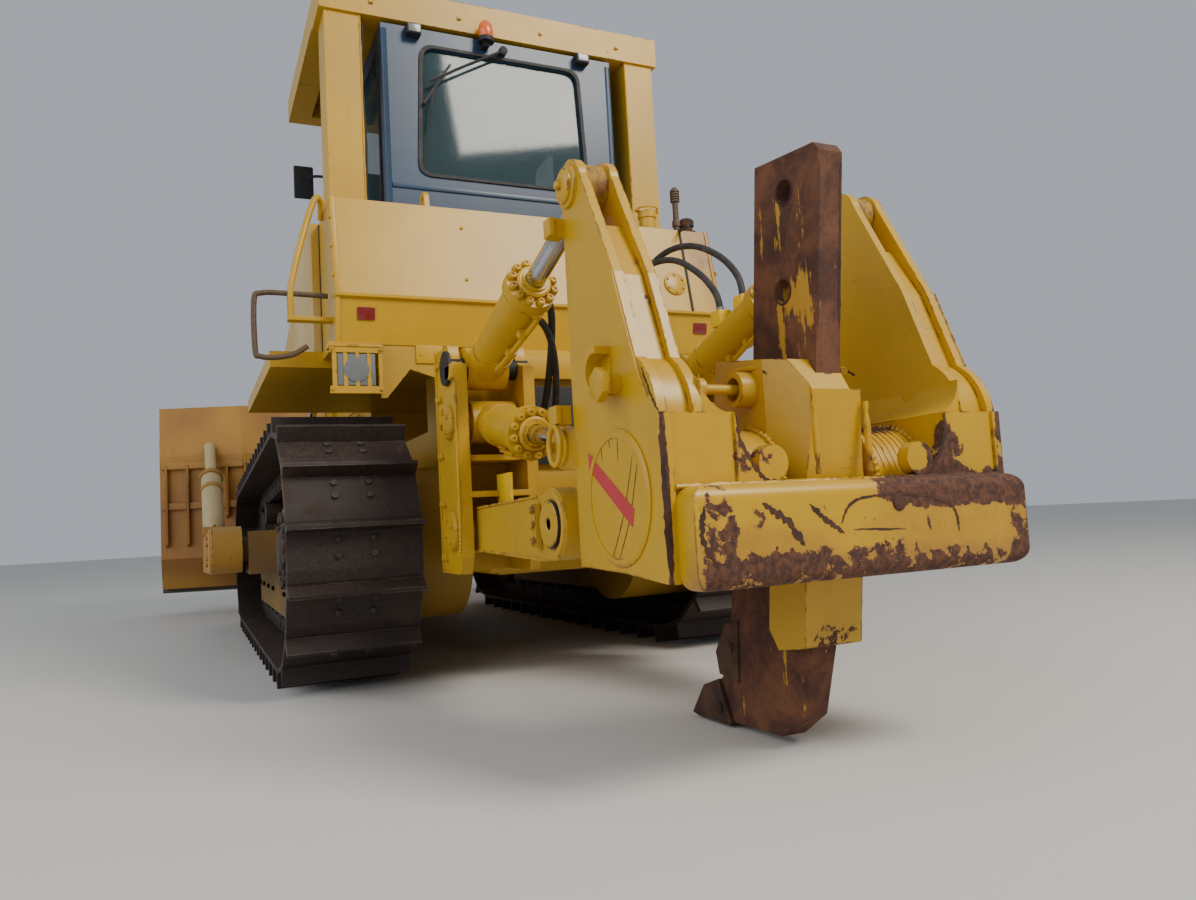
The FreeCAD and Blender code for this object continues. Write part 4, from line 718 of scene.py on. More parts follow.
class DOZER_OT_cylinders(bpy.types.Operator):
    """Gland rings, flange bolts, bands and steel lines of the cylinders"""

    bl_idname = "dozer.cylinders"
    bl_label = "Cylinder fittings"

    def execute(self, context):
        sizes = context.scene.dozer_fastenings
        for name, body, base, eye, side, radius, rim, share in CYLINDERS:
            start, end = Vector((base[0], side, base[1])), Vector((eye[0], side, eye[1]))
            along = (end - start).normalized()
            under = along.cross(Vector((0, 1, 0))).normalized()
            if under.z > 0:
                under = -under
            flange = (end - start).length * share if share else 0.25
            steel, screws, line = Pieces(), Pieces(), Pieces()
            face = start + along * flange
            wipe = 0.0515 if name == "lift" else 0.0465
            steel.lathe(((-0.005, wipe), (-0.005, 0.080), (0.022, 0.080), (0.030, 0.070), (0.030, wipe)), face, along, 32, True)
            steel.lathe(((0.028, wipe), (0.028, wipe + 0.013), (0.042, wipe + 0.011), (0.042, wipe)), face, along, 32, True)
            low = 0.16 if share else -1.2
            steel.lathe(
                ((0, radius - 0.01), (0.004, radius + 0.007), (0.040, radius + 0.007), (0.044, radius - 0.01)),
                start + along * low, along, 40, True,
            )
            steel.lathe(
                ((-0.012, radius - 0.01), (0, rim + 0.001), (0.010, rim + 0.001), (0.014, radius)),
                start + along * (flange - 0.070), along, 40, True,
            )
            screws.ring_of_bolts(face, along, rim - 0.022, sizes.flange_bolts, sizes.bolt, 0.2, "cap_screw")
            lift = under * (radius + 0.026)
            inward = Vector((0, -0.03, 0))
            first, last = low + 0.10, flange - 0.10
            line.tube(
                (
                    start + along * (first - 0.03) + under * (radius - 0.01), start + along * first + lift * 0.95,
                    start + along * (first + 0.05) + lift, start + along * (last - 0.06) + lift + inward,
                    start + along * last + lift + inward, start + along * (last + 0.02) + under * radius + inward,
                ),
                0.014,
            )
            for where in (first + 0.14, last - 0.14):
                spot = start + along * where + under * (radius + 0.012) + inward * 0.5
                steel.lathe(((-0.02, 0.030), (0.02, 0.030)), spot, along, 8)
            for where in (first - 0.03, last + 0.02):
                spot = start + along * where + under * (radius - 0.02) + (inward if where > first else Vector())
                steel.lathe(((0, 0.034), (0.028, 0.034), (0.034, 0.022), (0.05, 0.020)), spot, under, 6)
            for pieces, part, finish, slot in (
                (steel, "rings", "yellow", YELLOW), (screws, "screws", "yellow_arm", YELLOW), (line, "line", "yellow", YELLOW),
            ):
                pieces.mirror()
                pieces.finish(f"{name}_{part}", body, finish, slot)
        return {"FINISHED"}


class DOZER_OT_beam(bpy.types.Operator):
    """Pin caps, keepers, weld beads, scored discs and bared edges of the ripper beam"""

    bl_idname = "dozer.beam"
    bl_label = "Ripper beam"

    def execute(self, context):
        steel = Pieces()
        for x, z, r, proud in ((-2.52, 2.14, 0.066, 0.752), (-2.32, 1.165, 0.056, 0.748)):
            steel.lathe(((0, r - 0.004), (0.006, r - 0.012), (0.012, r * 0.45)), (x, proud, z), (0, 1, 0), 28)
            steel.lathe(((-0.02, r + 0.018), (0, r + 0.016), (0.004, r + 0.008)), (x, 0.738, z), (0, 1, 0), 28)
            steel.bolt((x, proud + 0.012, z), (0, 1, 0), 0.034)
        steel.lathe(((0.0, 0.205), (0.0, 0.236), (0.004, 0.236), (0.0125, 0.226), (0.0125, 0.205)), (-2.804, 0.727, 0.946), (0, 1, 0), 56, True)
        steel.lathe(((-0.01, 0.060), (0.018, 0.060), (0.022, 0.052)), (-2.842, 0.79, 1.328), (0, 1, 0), 6)
        for x, z in ((-2.39, 1.262), (-2.39, 1.298), (-2.455, 1.98), (-2.455, 2.02)):
            steel.bolt((x, 0.772, z), (0, 1, 0), 0.024)
        steel.box((-2.44, 0.770, 1.245), (-2.36, 0.792, 1.315), 0.005)
        steel.box((-2.47, 0.770, 1.965), (-2.40, 0.790, 2.035), 0.005)
        ring = [(-2.39 + 0.055 * math.cos(a), 0.785, 1.165 + 0.075 * math.sin(a)) for a in (k * math.pi / 8 for k in range(16))]
        steel.tube(ring, 0.011, 10, 2, True)
        steel.mirror()
        steel.finish("beam_fittings", "beam", "yellow_ripper", YELLOW)
        beads = Pieces()
        for side in (1, -1):
            y = side * 0.202
            beads.tube(((-2.74, y, 1.395), (-2.88, y, 1.39), (-2.95, side * 0.16, 1.375)), 0.010, 8, 8, pulse=0.3)
            arc = [
                (-2.804 + 0.229 * math.cos(a), side * 0.205, 0.946 + 0.229 * math.sin(a))
                for a in (math.pi * (0.35 + 0.055 * k) for k in range(12))
            ]
            beads.tube(arc, 0.011, 8, 10, pulse=0.3, pitch=0.024)
            arc = [(x, side * 0.449, z) for x, _, z in arc]
            beads.tube(arc, 0.012, 8, 10, pulse=0.3, pitch=0.024)
            beads.tube(((-3.10, side * 0.113, 0.99), (-3.10, side * 0.113, 1.24)), 0.009, 8, 16, pulse=0.35)
            beads.tube(((-2.86, side * 0.735, 1.72), (-2.985, side * 0.735, 1.40), (-3.06, side * 0.735, 1.26)), 0.004, 6, 8)
        for x, side in ((-3.131, 1), (-3.131, -1)):
            beads.tube(((x, side * 0.69, 0.965), (x, side * 0.05, 0.966)), 0.008, 8, 40, pulse=0.3)
        for k in range(7):
            y = -0.25 - 0.028 * k
            arc = [
                (-2.804 + 0.2262 * math.cos(a), y, 0.946 + 0.2262 * math.sin(a))
                for a in (math.pi * (0.42 + 0.06 * i) for i in range(10))
            ]
            beads.tube(arc, 0.0035, 6, 3)
        boss = Pieces()
        boss.lathe(((0, 0.030), (0.006, 0.026), (0.006, 0.012)), (-3.240, -0.10, 0.88), (-1, 0, 0), 20)
        beads.finish("weld_beads", "beam", "yellow_ripper", YELLOW)
        boss.finish("push_block_plug", "beam", "brown", STEEL)
        bared = Pieces()
        bared.chipped_strip(((-3.131, 0.727, 1.19), (-3.131, 0.727, 0.95), (-3.131, 0.727, 0.70)), 0.014, (-1, 0.35, 0), 3)
        bared.chipped_strip(((-3.124, 0.7265, 1.18), (-3.124, 0.7265, 0.86)), 0.011, (0, 1, 0), 4)
        bared.chipped_strip(((-3.02, 0.7265, 1.36), (-3.08, 0.7265, 1.25), (-3.12, 0.7265, 1.20)), 0.008, (0, 1, 0), 5)
        u_cut = ((0.448, 1.19), (0.435, 1.10), (0.36, 0.99), (0.30, 0.977))
        for side, seed in ((1, 11), (-1, 13)):
            bared.chipped_strip([(-3.1305, side * y, z - 0.006) for y, z in u_cut], 0.011, (-1, 0, 0), seed)
            bared.chipped_strip([(-2.9 - 0.02 * k, side * 0.199, 1.392 - 0.012 * k) for k in range(4)], 0.007, (0, side, 0), seed + 1)
        bared.chipped_strip(((-3.2405, 0.45, 0.90), (-3.2405, 0.36, 0.84), (-3.2405, 0.30, 0.76)), 0.020, (-1, 0, 0), 21)
        bared.chipped_strip(((-3.2405, 0.27, 0.89), (-3.2405, 0.20, 0.83), (-3.2405, 0.14, 0.79)), 0.013, (-1, 0, 0), 22)
        bared.chipped_strip(
            ((-3.2405, 0.15, 0.82), (-3.2405, 0.08, 0.895), (-3.2405, -0.16, 0.905), (-3.2405, -0.33, 0.86), (-3.2405, -0.36, 0.77)),
            0.008, (-1, 0, 0), 23,
        )
        bared.chipped_strip(((-3.2405, 0.66, 0.90), (-3.2405, 0.67, 0.80), (-3.2405, 0.62, 0.71)), 0.014, (-1, 0, 0), 24)
        bared.chipped_strip(((-3.2405, 0.10, 0.80), (-3.2405, -0.12, 0.79)), 0.006, (-1, 0, 0), 25)
        bared.chipped_strip(((-3.2405, -0.22, 0.83), (-3.2405, -0.23, 0.78)), 0.008, (-1, 0, 0), 26)
        bared.finish("bared_edges", "beam", "brown", STEEL)
        scored = Pieces()
        strokes = (
            ((-2.94, 1.08), (-2.86, 0.90), (-2.745, 0.735)), ((-2.975, 1.06), (-2.90, 0.88), (-2.80, 0.735)),
            ((-2.70, 1.14), (-2.707, 1.085)), ((-2.765, 1.165), (-2.775, 1.12)), ((-2.835, 1.155), (-2.832, 1.07)),
            ((-2.99, 1.05), (-3.01, 0.95), (-2.99, 0.84)),
        )
        for seed, stroke in enumerate(strokes):
            scored.chipped_strip([(x, 0.7362, z) for x, z in stroke], 0.0035, (0, 1, 0), 40 + seed)
        scored.finish("disc_scores", "beam", "brown", STEEL)
        tape = Pieces()
        tape.slab(((-2.590, 1.120), (-2.595, 1.055), (-2.915, 0.845), (-2.935, 0.905)), 0.7364, 0.7375)
        tape.finish("marker_strip", "beam", "tape", YELLOW, False)
        return {"FINISHED"}


class DOZER_OT_arms(bpy.types.Operator):
    """Retaining bars, collars and bolts on the ripper arms and the bracket"""

    bl_idname = "dozer.arms"
    bl_label = "Ripper arms and bracket"

    def execute(self, context):
        arm = Pieces()
        arm.box((-2.105, 0.739, 0.775), (-2.060, 0.772, 0.955), 0.006)
        for z in (0.80, 0.865, 0.93):
            arm.bolt((-2.082, 0.772, z), (0, 1, 0), 0.030)
        collar = [(-2.22 + 0.125 * math.cos(a), 0.744, 0.868 + 0.125 * math.sin(a)) for a in (math.pi * (0.62 + 0.076 * k) for k in range(11))]
        arm.tube(collar, 0.012, 10, 4)
        arm.lathe(((0.0, 0.10), (0.0, 0.140), (0.005, 0.138), (0.005, 0.10)), (-2.22, 0.738, 0.868), (0, 1, 0), 40, True)
        arm.tube(((-1.22, 0.742, 0.965), (-2.06, 0.742, 0.985)), 0.006, 8, 40, pulse=0.3)
        arm.tube(((-1.22, 0.742, 0.755), (-2.12, 0.742, 0.722)), 0.006, 8, 40, pulse=0.3)
        arm.mirror()
        arm.finish("arm_keepers", "arms", "yellow_arm", YELLOW)
        caps = Pieces()
        caps.lathe(((0, 0.094), (0.006, 0.088), (0.006, 0.03), (0.001, 0.022)), (-2.22, 0.757, 0.868), (0, 1, 0), 32)
        caps.mirror()
        caps.finish("beam_pin_caps", "beam_pin", "yellow_arm", YELLOW)
        base = Pieces()
        for x, z, r, y in ((-1.10, 0.86, 0.10, 0.844), (-1.10, 1.412, 0.09, 0.844)):
            base.lathe(((0, r), (0.014, r - 0.006), (0.016, r * 0.5)), (x, y, z), (0, 1, 0), 28)
            base.ring_of_bolts((x, y + 0.014, z), (0, 1, 0), r * 0.62, 4, 0.026, 0.4)
        for z in (0.72, 1.0, 1.25, 1.55, 1.73):
            base.bolt((-0.905, 0.829, z), (0, 1, 0), 0.036)
            base.bolt((-0.955, 0.829, z), (0, 1, 0), 0.036)
        base.box((-1.22, 0.765, 1.62), (-1.10, 0.850, 1.70), 0.01)
        base.tube(((-1.20, 0.835, 0.73), (-1.225, 0.835, 0.90), (-1.225, 0.835, 1.60)), 0.008, 8, 30, pulse=0.3)
        base.box((-1.20, 0.46, 1.205), (-0.90, 0.78, 1.235), 0.004)
        base.box((-1.24, 0.46, 1.02), (-0.90, 0.78, 1.05), 0.004)
        base.mirror()
        base.box((-0.90, -0.42, 1.68), (-0.86, 0.42, 1.80), 0.008)
        base.box((-0.90, -0.42, 1.02), (-0.86, 0.42, 1.16), 0.008)
        base.box((-0.90, -0.42, 0.66), (-0.86, 0.42, 0.76), 0.008)
        base.finish("bracket_fittings", "machine", "yellow", YELLOW)
        plate = Pieces()
        for side in (1, -1):
            plate.slab([(x, z) for x, z in ((-1.20, 0.99), (-1.40, 0.99), (-1.40, 1.13), (-1.20, 1.13))], side * 0.62 - 0.008, side * 0.62 + 0.008, "y", 0.003)
            plate.lathe(((-0.012, 0.018), (0.012, 0.018)), (-1.30, side * 0.62, 1.08), (0, 1, 0), 14)
        plate.finish("arm_tabs", "arms", "yellow_bright", YELLOW)
        # A dark sheet across the bracket's opening between its cross bars: painted shade for the hollow behind it
        bracket_shade = Pieces()
        bracket_shade.box((-0.885, -0.38, 1.20), (-0.866, 0.38, 1.64), 0.004)
        bracket_shade.finish("bracket_painted_shade", "machine", "dark", DARK)
        return {"FINISHED"}


class DOZER_OT_shank(bpy.types.Operator):
    """Wear strips, foot plates and bared edges of the shank"""

    bl_idname = "dozer.shank"
    bl_label = "Shank"

    def execute(self, context):
        strips = Pieces()

        def lean(x, z):
            return x - (z - 1.46) * 0.13

        for y, width in ((0.0465, 0.004), (-0.0465, 0.004)):
            points = [(lean(-3.0655, z), y, z) for z in (1.50, 1.70, 1.90, 2.08)]
            strips.chipped_strip(points, width * 2, (-1, 0, 0), 61 + int(y * 100))
        for height in (1.315, 1.675, 2.035):
            for side in (1, -1):
                x = -2.85 - 0.36 * 0.13 * round((height - 1.315) / 0.36)
                ring = [(x + 0.047 * math.cos(a), side * 0.0528, height + 0.047 * math.sin(a)) for a in (k * math.pi / 8 for k in range(16))]
                strips.tube(ring, 0.004, 8, 2, True)
        strips.finish("shank_wear", "shank", "brown", STEEL)
        foot = Pieces()
        foot.lathe(((-0.078, 0.022), (0.078, 0.022)), (-2.30, 0.0, 0.075), (0, 1, 0), 16)
        foot.slab(((-2.44, 0.19), (-2.30, 0.21), (-2.28, 0.30), (-2.36, 0.42), (-2.46, 0.44)), -0.064, 0.064, "y", 0.01)
        foot.lathe(((-0.070, 0.024), (0.070, 0.024)), (-2.395, 0.0, 0.33), (0, 1, 0), 16)
        foot.finish("shank_guard", "shank", "point", STEEL)
        return {"FINISHED"}


def track_pins():
    """Pin places along one track's closed path."""
    big, small, wheelbase = 0.607, 0.513, 3.98
    rear, front = Vector((0.0, 0.795)), Vector((wheelbase, 0.701))
    span = front - rear
    rise = math.asin((big - small) / span.length)
    upper = math.pi / 2 + math.atan2(span.y, span.x) - rise + 2 * 0.0
    lean = math.atan2(-span.y, span.x)
    upper = math.pi / 2 - lean - rise
    run = math.sqrt(span.length ** 2 - (big - small) ** 2)
    wraps = (big * (2 * math.pi - (upper + math.pi / 2)), small * (upper + math.pi / 2))
    whole = 2 * run + sum(wraps)
    links = round(whole / 0.280)

    def station(distance):
        distance %= whole
        if distance < run:
            return Vector((distance, rear.y - big))
        distance -= run
        if distance < wraps[1]:
            angle = -math.pi / 2 + distance / small
            return front + Vector((math.cos(angle), math.sin(angle))) * small
        distance -= wraps[1]
        normal = Vector((math.cos(upper), math.sin(upper)))
        if distance < run:
            share = distance / run
            return (front + normal * small) * (1 - share) + (rear + normal * big) * share
        angle = upper + (distance - run) / big
        return rear + Vector((math.cos(angle), math.sin(angle))) * big

    return [station(whole * i / links) for i in range(links)]


class DOZER_OT_tracks(bpy.types.Operator):
    """Shoe bolts, dark patches of painted shade for the mud-slot holes, link plates and pin ends of both tracks"""

    bl_idname = "dozer.tracks"
    bl_label = "Track fastenings"

    def execute(self, context):
        pins = track_pins()
        for side, name in ((1, "left"), (-1, "right")):
            bolts, slot_shade, links = Pieces(), Pieces(), Pieces()
            middle = side * SIDE
            for i, here in enumerate(pins):
                there = pins[(i + 1) % len(pins)]
                along = (there - here)
                out = Vector((along.y, -along.x)).normalized()
                unit = along.normalized()

                def at(share, height, y):
                    flat = here + along * share + out * height
                    return (flat.x, middle + y, flat.y)

                for share in (0.42, 0.72):
                    for y in (-0.0925, 0.0925):
                        bolts.lathe(((-0.004, 0.017), (0.016, 0.017), (0.019, 0.013)), at(share, 0.095, y), (out.x, 0, out.y), 8)
                # Flat dark patches on the shoe face: painted shade for the mud-slot holes
                for y in (-0.075, 0.075):
                    corners = [at(a, 0.0955, y + b) for a, b in ((0.275, -0.03), (0.33, -0.03), (0.33, 0.03), (0.275, 0.03))]
                    low = [slot_shade.mesh.verts.new(c) for c in corners]
                    high = [slot_shade.mesh.verts.new(Vector(c) + Vector((out.x, 0, out.y)) * 0.001) for c in corners]
                    slot_shade.skin([low, high])
                for y, face in ((0.130, 1), (-0.130, -1)):
                    links.lathe(((-0.004, 0.036), (0.010, 0.036), (0.014, 0.030)), at(0, 0, y), (0, face, 0), 14)
                    outline = []
                    for share, turns in ((0.20, range(4)), (0.80, range(4))):
                        centre = here + along * share
                        for k in turns:
                            angle = math.pi * (k / 3 - 0.5)
                            reach = -unit if share < 0.5 else unit
                            flat = centre + reach * 0.040 * math.cos(angle) + out * (0.046 * math.sin(angle) * (1 if share > 0.5 else -1))
                            outline.append((flat.x, flat.y - 0.0))
                    low_y, high_y = sorted((middle + y - face * 0.004, middle + y + face * 0.007))
                    links.slab(outline, low_y, high_y)
            bolts.finish(f"shoe_bolts_{name}", "machine", "link", STEEL)
            slot_shade.finish(f"shoe_slot_shade_{name}", "machine", "rubber", DARK, False)
            links.finish(f"track_links_{name}", "machine", "link", STEEL)
        gear = Pieces()
        gear.ring_of_bolts((0, 1.55, 0.795), (0, 1, 0), 0.20, 14, 0.046)
        gear.lathe(((-0.01, 0.12), (0.02, 0.12), (0.035, 0.10), (0.035, 0.04)), (0, 1.55, 0.795), (0, 1, 0), 36)
        gear.ring_of_bolts((0, 1.2955, 0.795), (0, 1, 0), 0.40, 27, 0.040)
        gear.lathe(((-0.01, 0.345), (0.025, 0.345), (0.032, 0.335)), (0, 1.30, 0.795), (0, 1, 0), 48)
        for x in (0.75, 1.2, 2.1, 2.55, 3.0, 3.4):
            for y in (1.10, 1.40):
                gear.bolt((x, 1.4405, 0.47), (0, 1, 0), 0.034)
        gear.mirror()
        gear.finish("drive_bolts", "machine", "roller", STEEL)
        return {"FINISHED"}


class DOZER_OT_blade(bpy.types.Operator):
    """Ribs, edge bolts and bands of the blade and its push arms"""

    bl_idname = "dozer.blade"
    bl_label = "Blade"

    def execute(self, context):
        ribs = Pieces()
        for y in (0.0, 0.42, 1.12, 1.42):
            ribs.slab(((5.90, 0.78), (6.00, 0.72), (6.00, 1.85), (5.90, 1.78)), y - 0.014, y + 0.014, "y", 0.003)
        for y in (1.62, 2.05, 2.28):
            back = 5.99 + 0.3556 * (y - 1.447)
            low = 1.12 if 1.55 < y < 2.0 else 0.80
            ribs.slab(((back - 0.08, low + 0.05), (back + 0.02, low), (back + 0.02, 1.85), (back - 0.08, 1.78)), y - 0.014, y + 0.014, "y", 0.003)
        for z, deep in ((1.78, 0.07), (1.30, 0.05)):
            ribs.box((5.99 - deep, -1.447, z - 0.04), (6.01, 1.447, z + 0.04), 0.012)
            outline = ((5.99 - deep, 1.447), (6.01, 1.447), (6.325, 2.33), (6.305 - deep, 2.33))
            ribs.slab(outline, z - 0.04, z + 0.04, "z", 0.01)
            ribs.slab([(x, -y) for x, y in outline], z - 0.04, z + 0.04, "z", 0.01)
        ribs.slab(((6.255, 1.447), (6.30, 1.447), (6.61, 2.33), (6.57, 2.33)), 2.40, 2.512, "z", 0.012)
        ribs.slab(((6.255, -1.447), (6.30, -1.447), (6.61, -2.33), (6.57, -2.33)), 2.40, 2.512, "z", 0.012)
        ribs.finish("blade_ribs", "blade", "yellow_blade", YELLOW)
        side = Pieces()
        for y, x in [(0.12 + 0.235 * k, 0.0) for k in range(6)] + [(1.56 + 0.235 * k, 0.0) for k in range(4)]:
            forward = max(0.0, y - 1.447) * 0.3556
            for z in (0.33, 0.47):
                lean = (z - 0.25) / 0.3 * 0.04
                side.bolt((5.99 + 0.640 - lean + forward, y, z), (1, 0, 0.13), 0.034)
        side.mirror()
        side.finish("edge_bolts", "blade", "bolt", STEEL)
        arm = Pieces()
        arm.lathe(((0, 0.165), (0.02, 0.160), (0.03, 0.12), (0.03, 0.05)), (1.60, 1.899, 0.80), (0, 1, 0), 40)
        arm.ring_of_bolts((1.60, 1.925, 0.80), (0, 1, 0), 0.10, 6, 0.036)
        arm.box((4.80, 1.685, 0.93), (5.0, 1.915, 1.02), 0.012)
        for x in (4.84, 4.96):
            arm.bolt((x, 1.80, 1.02), (0, 0, 1), 0.04)
        arm.lathe(((-0.03, 0.119), (0.03, 0.119)), (5.45, 1.80, 1.428), (1.22, 0, 1.04), 32)
        arm.lathe(((-0.02, 0.125), (0.04, 0.125), (0.05, 0.062)), (5.63, 1.80, 1.582), (1.22, 0, 1.04), 32)
        arm.mirror()
        arm.finish("push_arm_caps", "blade", "yellow_blade", YELLOW)
        return {"FINISHED"}


class DOZER_OT_tank(bpy.types.Operator):
    """Seams, caps, covers, reflectors and grab rails of the tank"""

    bl_idname = "dozer.tank"
    bl_label = "Tank fittings"

    def execute(self, context):
        seam = Pieces()
        seam.box((-0.46, -1.062, 2.812), (0.10, -1.050, 2.834), 0.002)
        seam.slab(((-0.336, 2.822), (-0.341, 2.826), (-0.4585, 2.235), (-0.4505, 2.23)), -1.062, -1.050)
        for y in (1.283, -1.283):
            seam.box((0.098, y - 0.003, 2.0), (0.106, y + 0.003, 2.80))
        seam.finish("tank_seams", "machine", "rubber", DARK)
        steel = Pieces()
        lip = ((-0.452, 2.206), (-0.468, 2.214), (-0.468, 2.228), (-0.449, 2.236))
        steel.slab(lip, -1.281, 1.281, "y", 0.002)
        for side in (1, -1):
            edge = ((-0.330, 2.832), (-0.338, 2.832), (-0.459, 2.228), (-0.414, 1.951), (-0.400, 1.951), (-0.44, 2.228))
            steel.slab(edge, side * 1.268 - 0.0135, side * 1.268 + 0.0135, "y", 0.004)
            for x, z in ((-0.395, 2.52), (-0.36, 2.70), (-0.425, 2.34)):
                steel.bolt((x, side * 1.2800, z), (0, side, 0), 0.026)
        cover_face, lean = Vector((-0.412, -0.95, 2.425)), Vector((-0.981, 0, 0.194))
        spin = lean.to_track_quat("Z", "X").to_matrix()
        rim = []
        for k in range(28):
            a = 2 * math.pi * k / 28
            rim.append(cover_face + spin @ Vector((0.085 * math.cos(a), 0.068 * math.sin(a), 0.0)))
        steel.lathe(((-0.004, 0.080), (0.008, 0.080), (0.011, 0.074)), cover_face, lean, 40)
        for k in range(6):
            a = 2 * math.pi * k / 6
            steel.cap_screw(cover_face + spin @ Vector((0.064 * math.cos(a), 0.064 * math.sin(a), 0.009)), lean, 0.018)
        for y in (-0.25, 0.5):
            for z in (2.70, 2.36):
                x = -0.330 - (2.83 - z) * 0.1983
                steel.cap_screw((x, y, z), lean, 0.020)
        steel.lathe(((0, 0.058), (0.14, 0.058), (0.145, 0.066), (0.185, 0.066), (0.195, 0.055)), (-0.12, -0.93, 2.825), (0, 0, 1), 36)
        steel.tube([(-0.12 + 0.075 * math.cos(a), -0.93 + 0.075 * math.sin(a), 3.035) for a in (k * math.pi / 6 for k in range(12))], 0.006, 8, 3, True)
        steel.box((-0.135, -1.02, 3.018), (-0.105, -0.84, 3.032), 0.003)
        steel.tube(((-0.30, 1.506, 2.11), (-0.30, 1.50, 2.30), (-0.24, 1.42, 2.62), (-0.16, 1.34, 2.86), (-0.12, 1.30, 2.87), (-0.05, 1.29, 2.78)), 0.019, 14, 10)
        steel.box((-0.34, 1.27, 2.09), (-0.26, 1.525, 2.115), 0.004)
        steel.box((-0.41, 0.665, 1.845), (-0.372, 0.825, 1.952), 0.006)
        for y in (0.70, 0.79):
            steel.lathe(((-0.001, 0.016), (0.004, 0.016), (0.004, 0.009)), (-0.41, y, 1.905), (-1, 0, 0), 14)
        steel.box((-0.445, -0.50, 1.952), (-0.40, -0.40, 2.11), 0.005)
        steel.finish("tank_fittings", "machine", "yellow_tank", YELLOW)
        loop = Pieces()
        loop.tube((
            (-0.30, 1.30, 2.245), (-0.30, 1.52, 2.25), (-0.30, 1.66, 2.245), (-0.30, 1.70, 2.20), (-0.30, 1.70, 1.92),
            (-0.30, 1.675, 1.885), (-0.30, 1.60, 1.88), (-0.30, 1.50, 1.90), (-0.30, 1.42, 1.95),
        ), 0.0155, 14, 8)
        loop.lathe(((0, 0.022), (0.10, 0.022), (0.11, 0.030), (0.145, 0.030), (0.16, 0.022)), (-0.12, -1.165, 2.825), (0, 0, 1), 24)
        for k in range(5):
            loop.lathe(((0, 0.034), (0.010, 0.034)), (-0.12, -1.165, 3.115 + 0.018 * k), (0, 0, 1), 24)
        loop.lathe(((0, 0.021), (0.31, 0.021), (0.375, 0.030), (0.395, 0.016)), (-0.12, -1.165, 2.825), (0, 0, 1), 24)
        loop.finish("grab_loop", "machine", "bolt", STEEL)
        cap = Pieces()
        cap.lathe(((0, 0.045), (0.12, 0.045), (0.125, 0.056), (0.165, 0.056), (0.18, 0.040)), (-0.12, -1.245, 2.812), (0, 0, 1), 28)
        cap.tube(((-0.20, -1.20, 2.835), (-0.20, -1.18, 2.87), (-0.20, -1.262, 2.88), (-0.20, -1.275, 2.835)), 0.008, 8, 6)
        cap.finish("rusty_cap", "machine", "brown", STEEL)
        lamp = Pieces()
        slope = Vector((-0.987, 0, -0.162))
        for side in (1, -1):
            corners = [(-0.4345, side * 1.06), (-0.4345, side * 1.16)]
            lamp.box((-0.442, min(c[1] for c in corners), 2.085), (-0.424, max(c[1] for c in corners), 2.158), 0.006, Matrix.Rotation(-0.16, 3, "Y"))
        lamp.finish("reflectors", "machine", "red", STEEL)
        return {"FINISHED"}


class DOZER_OT_lamps(bpy.types.Operator):
    """Lamp lenses, frames and bolts under the tank"""

    bl_idname = "dozer.lamps"
    bl_label = "Rear lamps"

    def execute(self, context):
        glass, frame_steel = Pieces(), Pieces()
        glass.box((-0.474, 1.075, 1.70), (-0.456, 1.285, 1.88), 0.008)
        glass.lathe(((0, 0.072), (0.006, 0.070), (0.008, 0.050), (0.009, 0.02)), (-0.4735, 1.18, 1.79), (-1, 0, 0), 28)
        for y in (1.045, 1.315):
            for z in (1.675, 1.905):
                frame_steel.cap_screw((-0.480, y, z), (-1, 0, 0), 0.022)
        frame_steel.box((-0.486, 1.03, 1.652), (-0.472, 1.33, 1.664), 0.003)
        frame_steel.box((-0.486, 1.03, 1.918), (-0.472, 1.33, 1.930), 0.003)
        for pieces, name, finish, slot in (
            (glass, "lamp_lenses", "clear", "glass"), (frame_steel, "lamp_frames", "yellow", YELLOW),
        ):
            pieces.mirror()
            pieces.finish(name, "machine", finish, slot)
        return {"FINISHED"}


def rounded(corners, radius, steps=6):
    """A closed outline with rounded corners."""
    outline = []
    count = len(corners)
    for i in range(count):
        before, here, after = (Vector(corners[(i + k) % count]) for k in (-1, 0, 1))
        a = here + (before - here).normalized() * radius
        b = here + (after - here).normalized() * radius
        for k in range(steps + 1):
            t = k / steps
            outline.append(a * (1 - t) ** 2 + here * 2 * t * (1 - t) + b * t * t)
    return outline


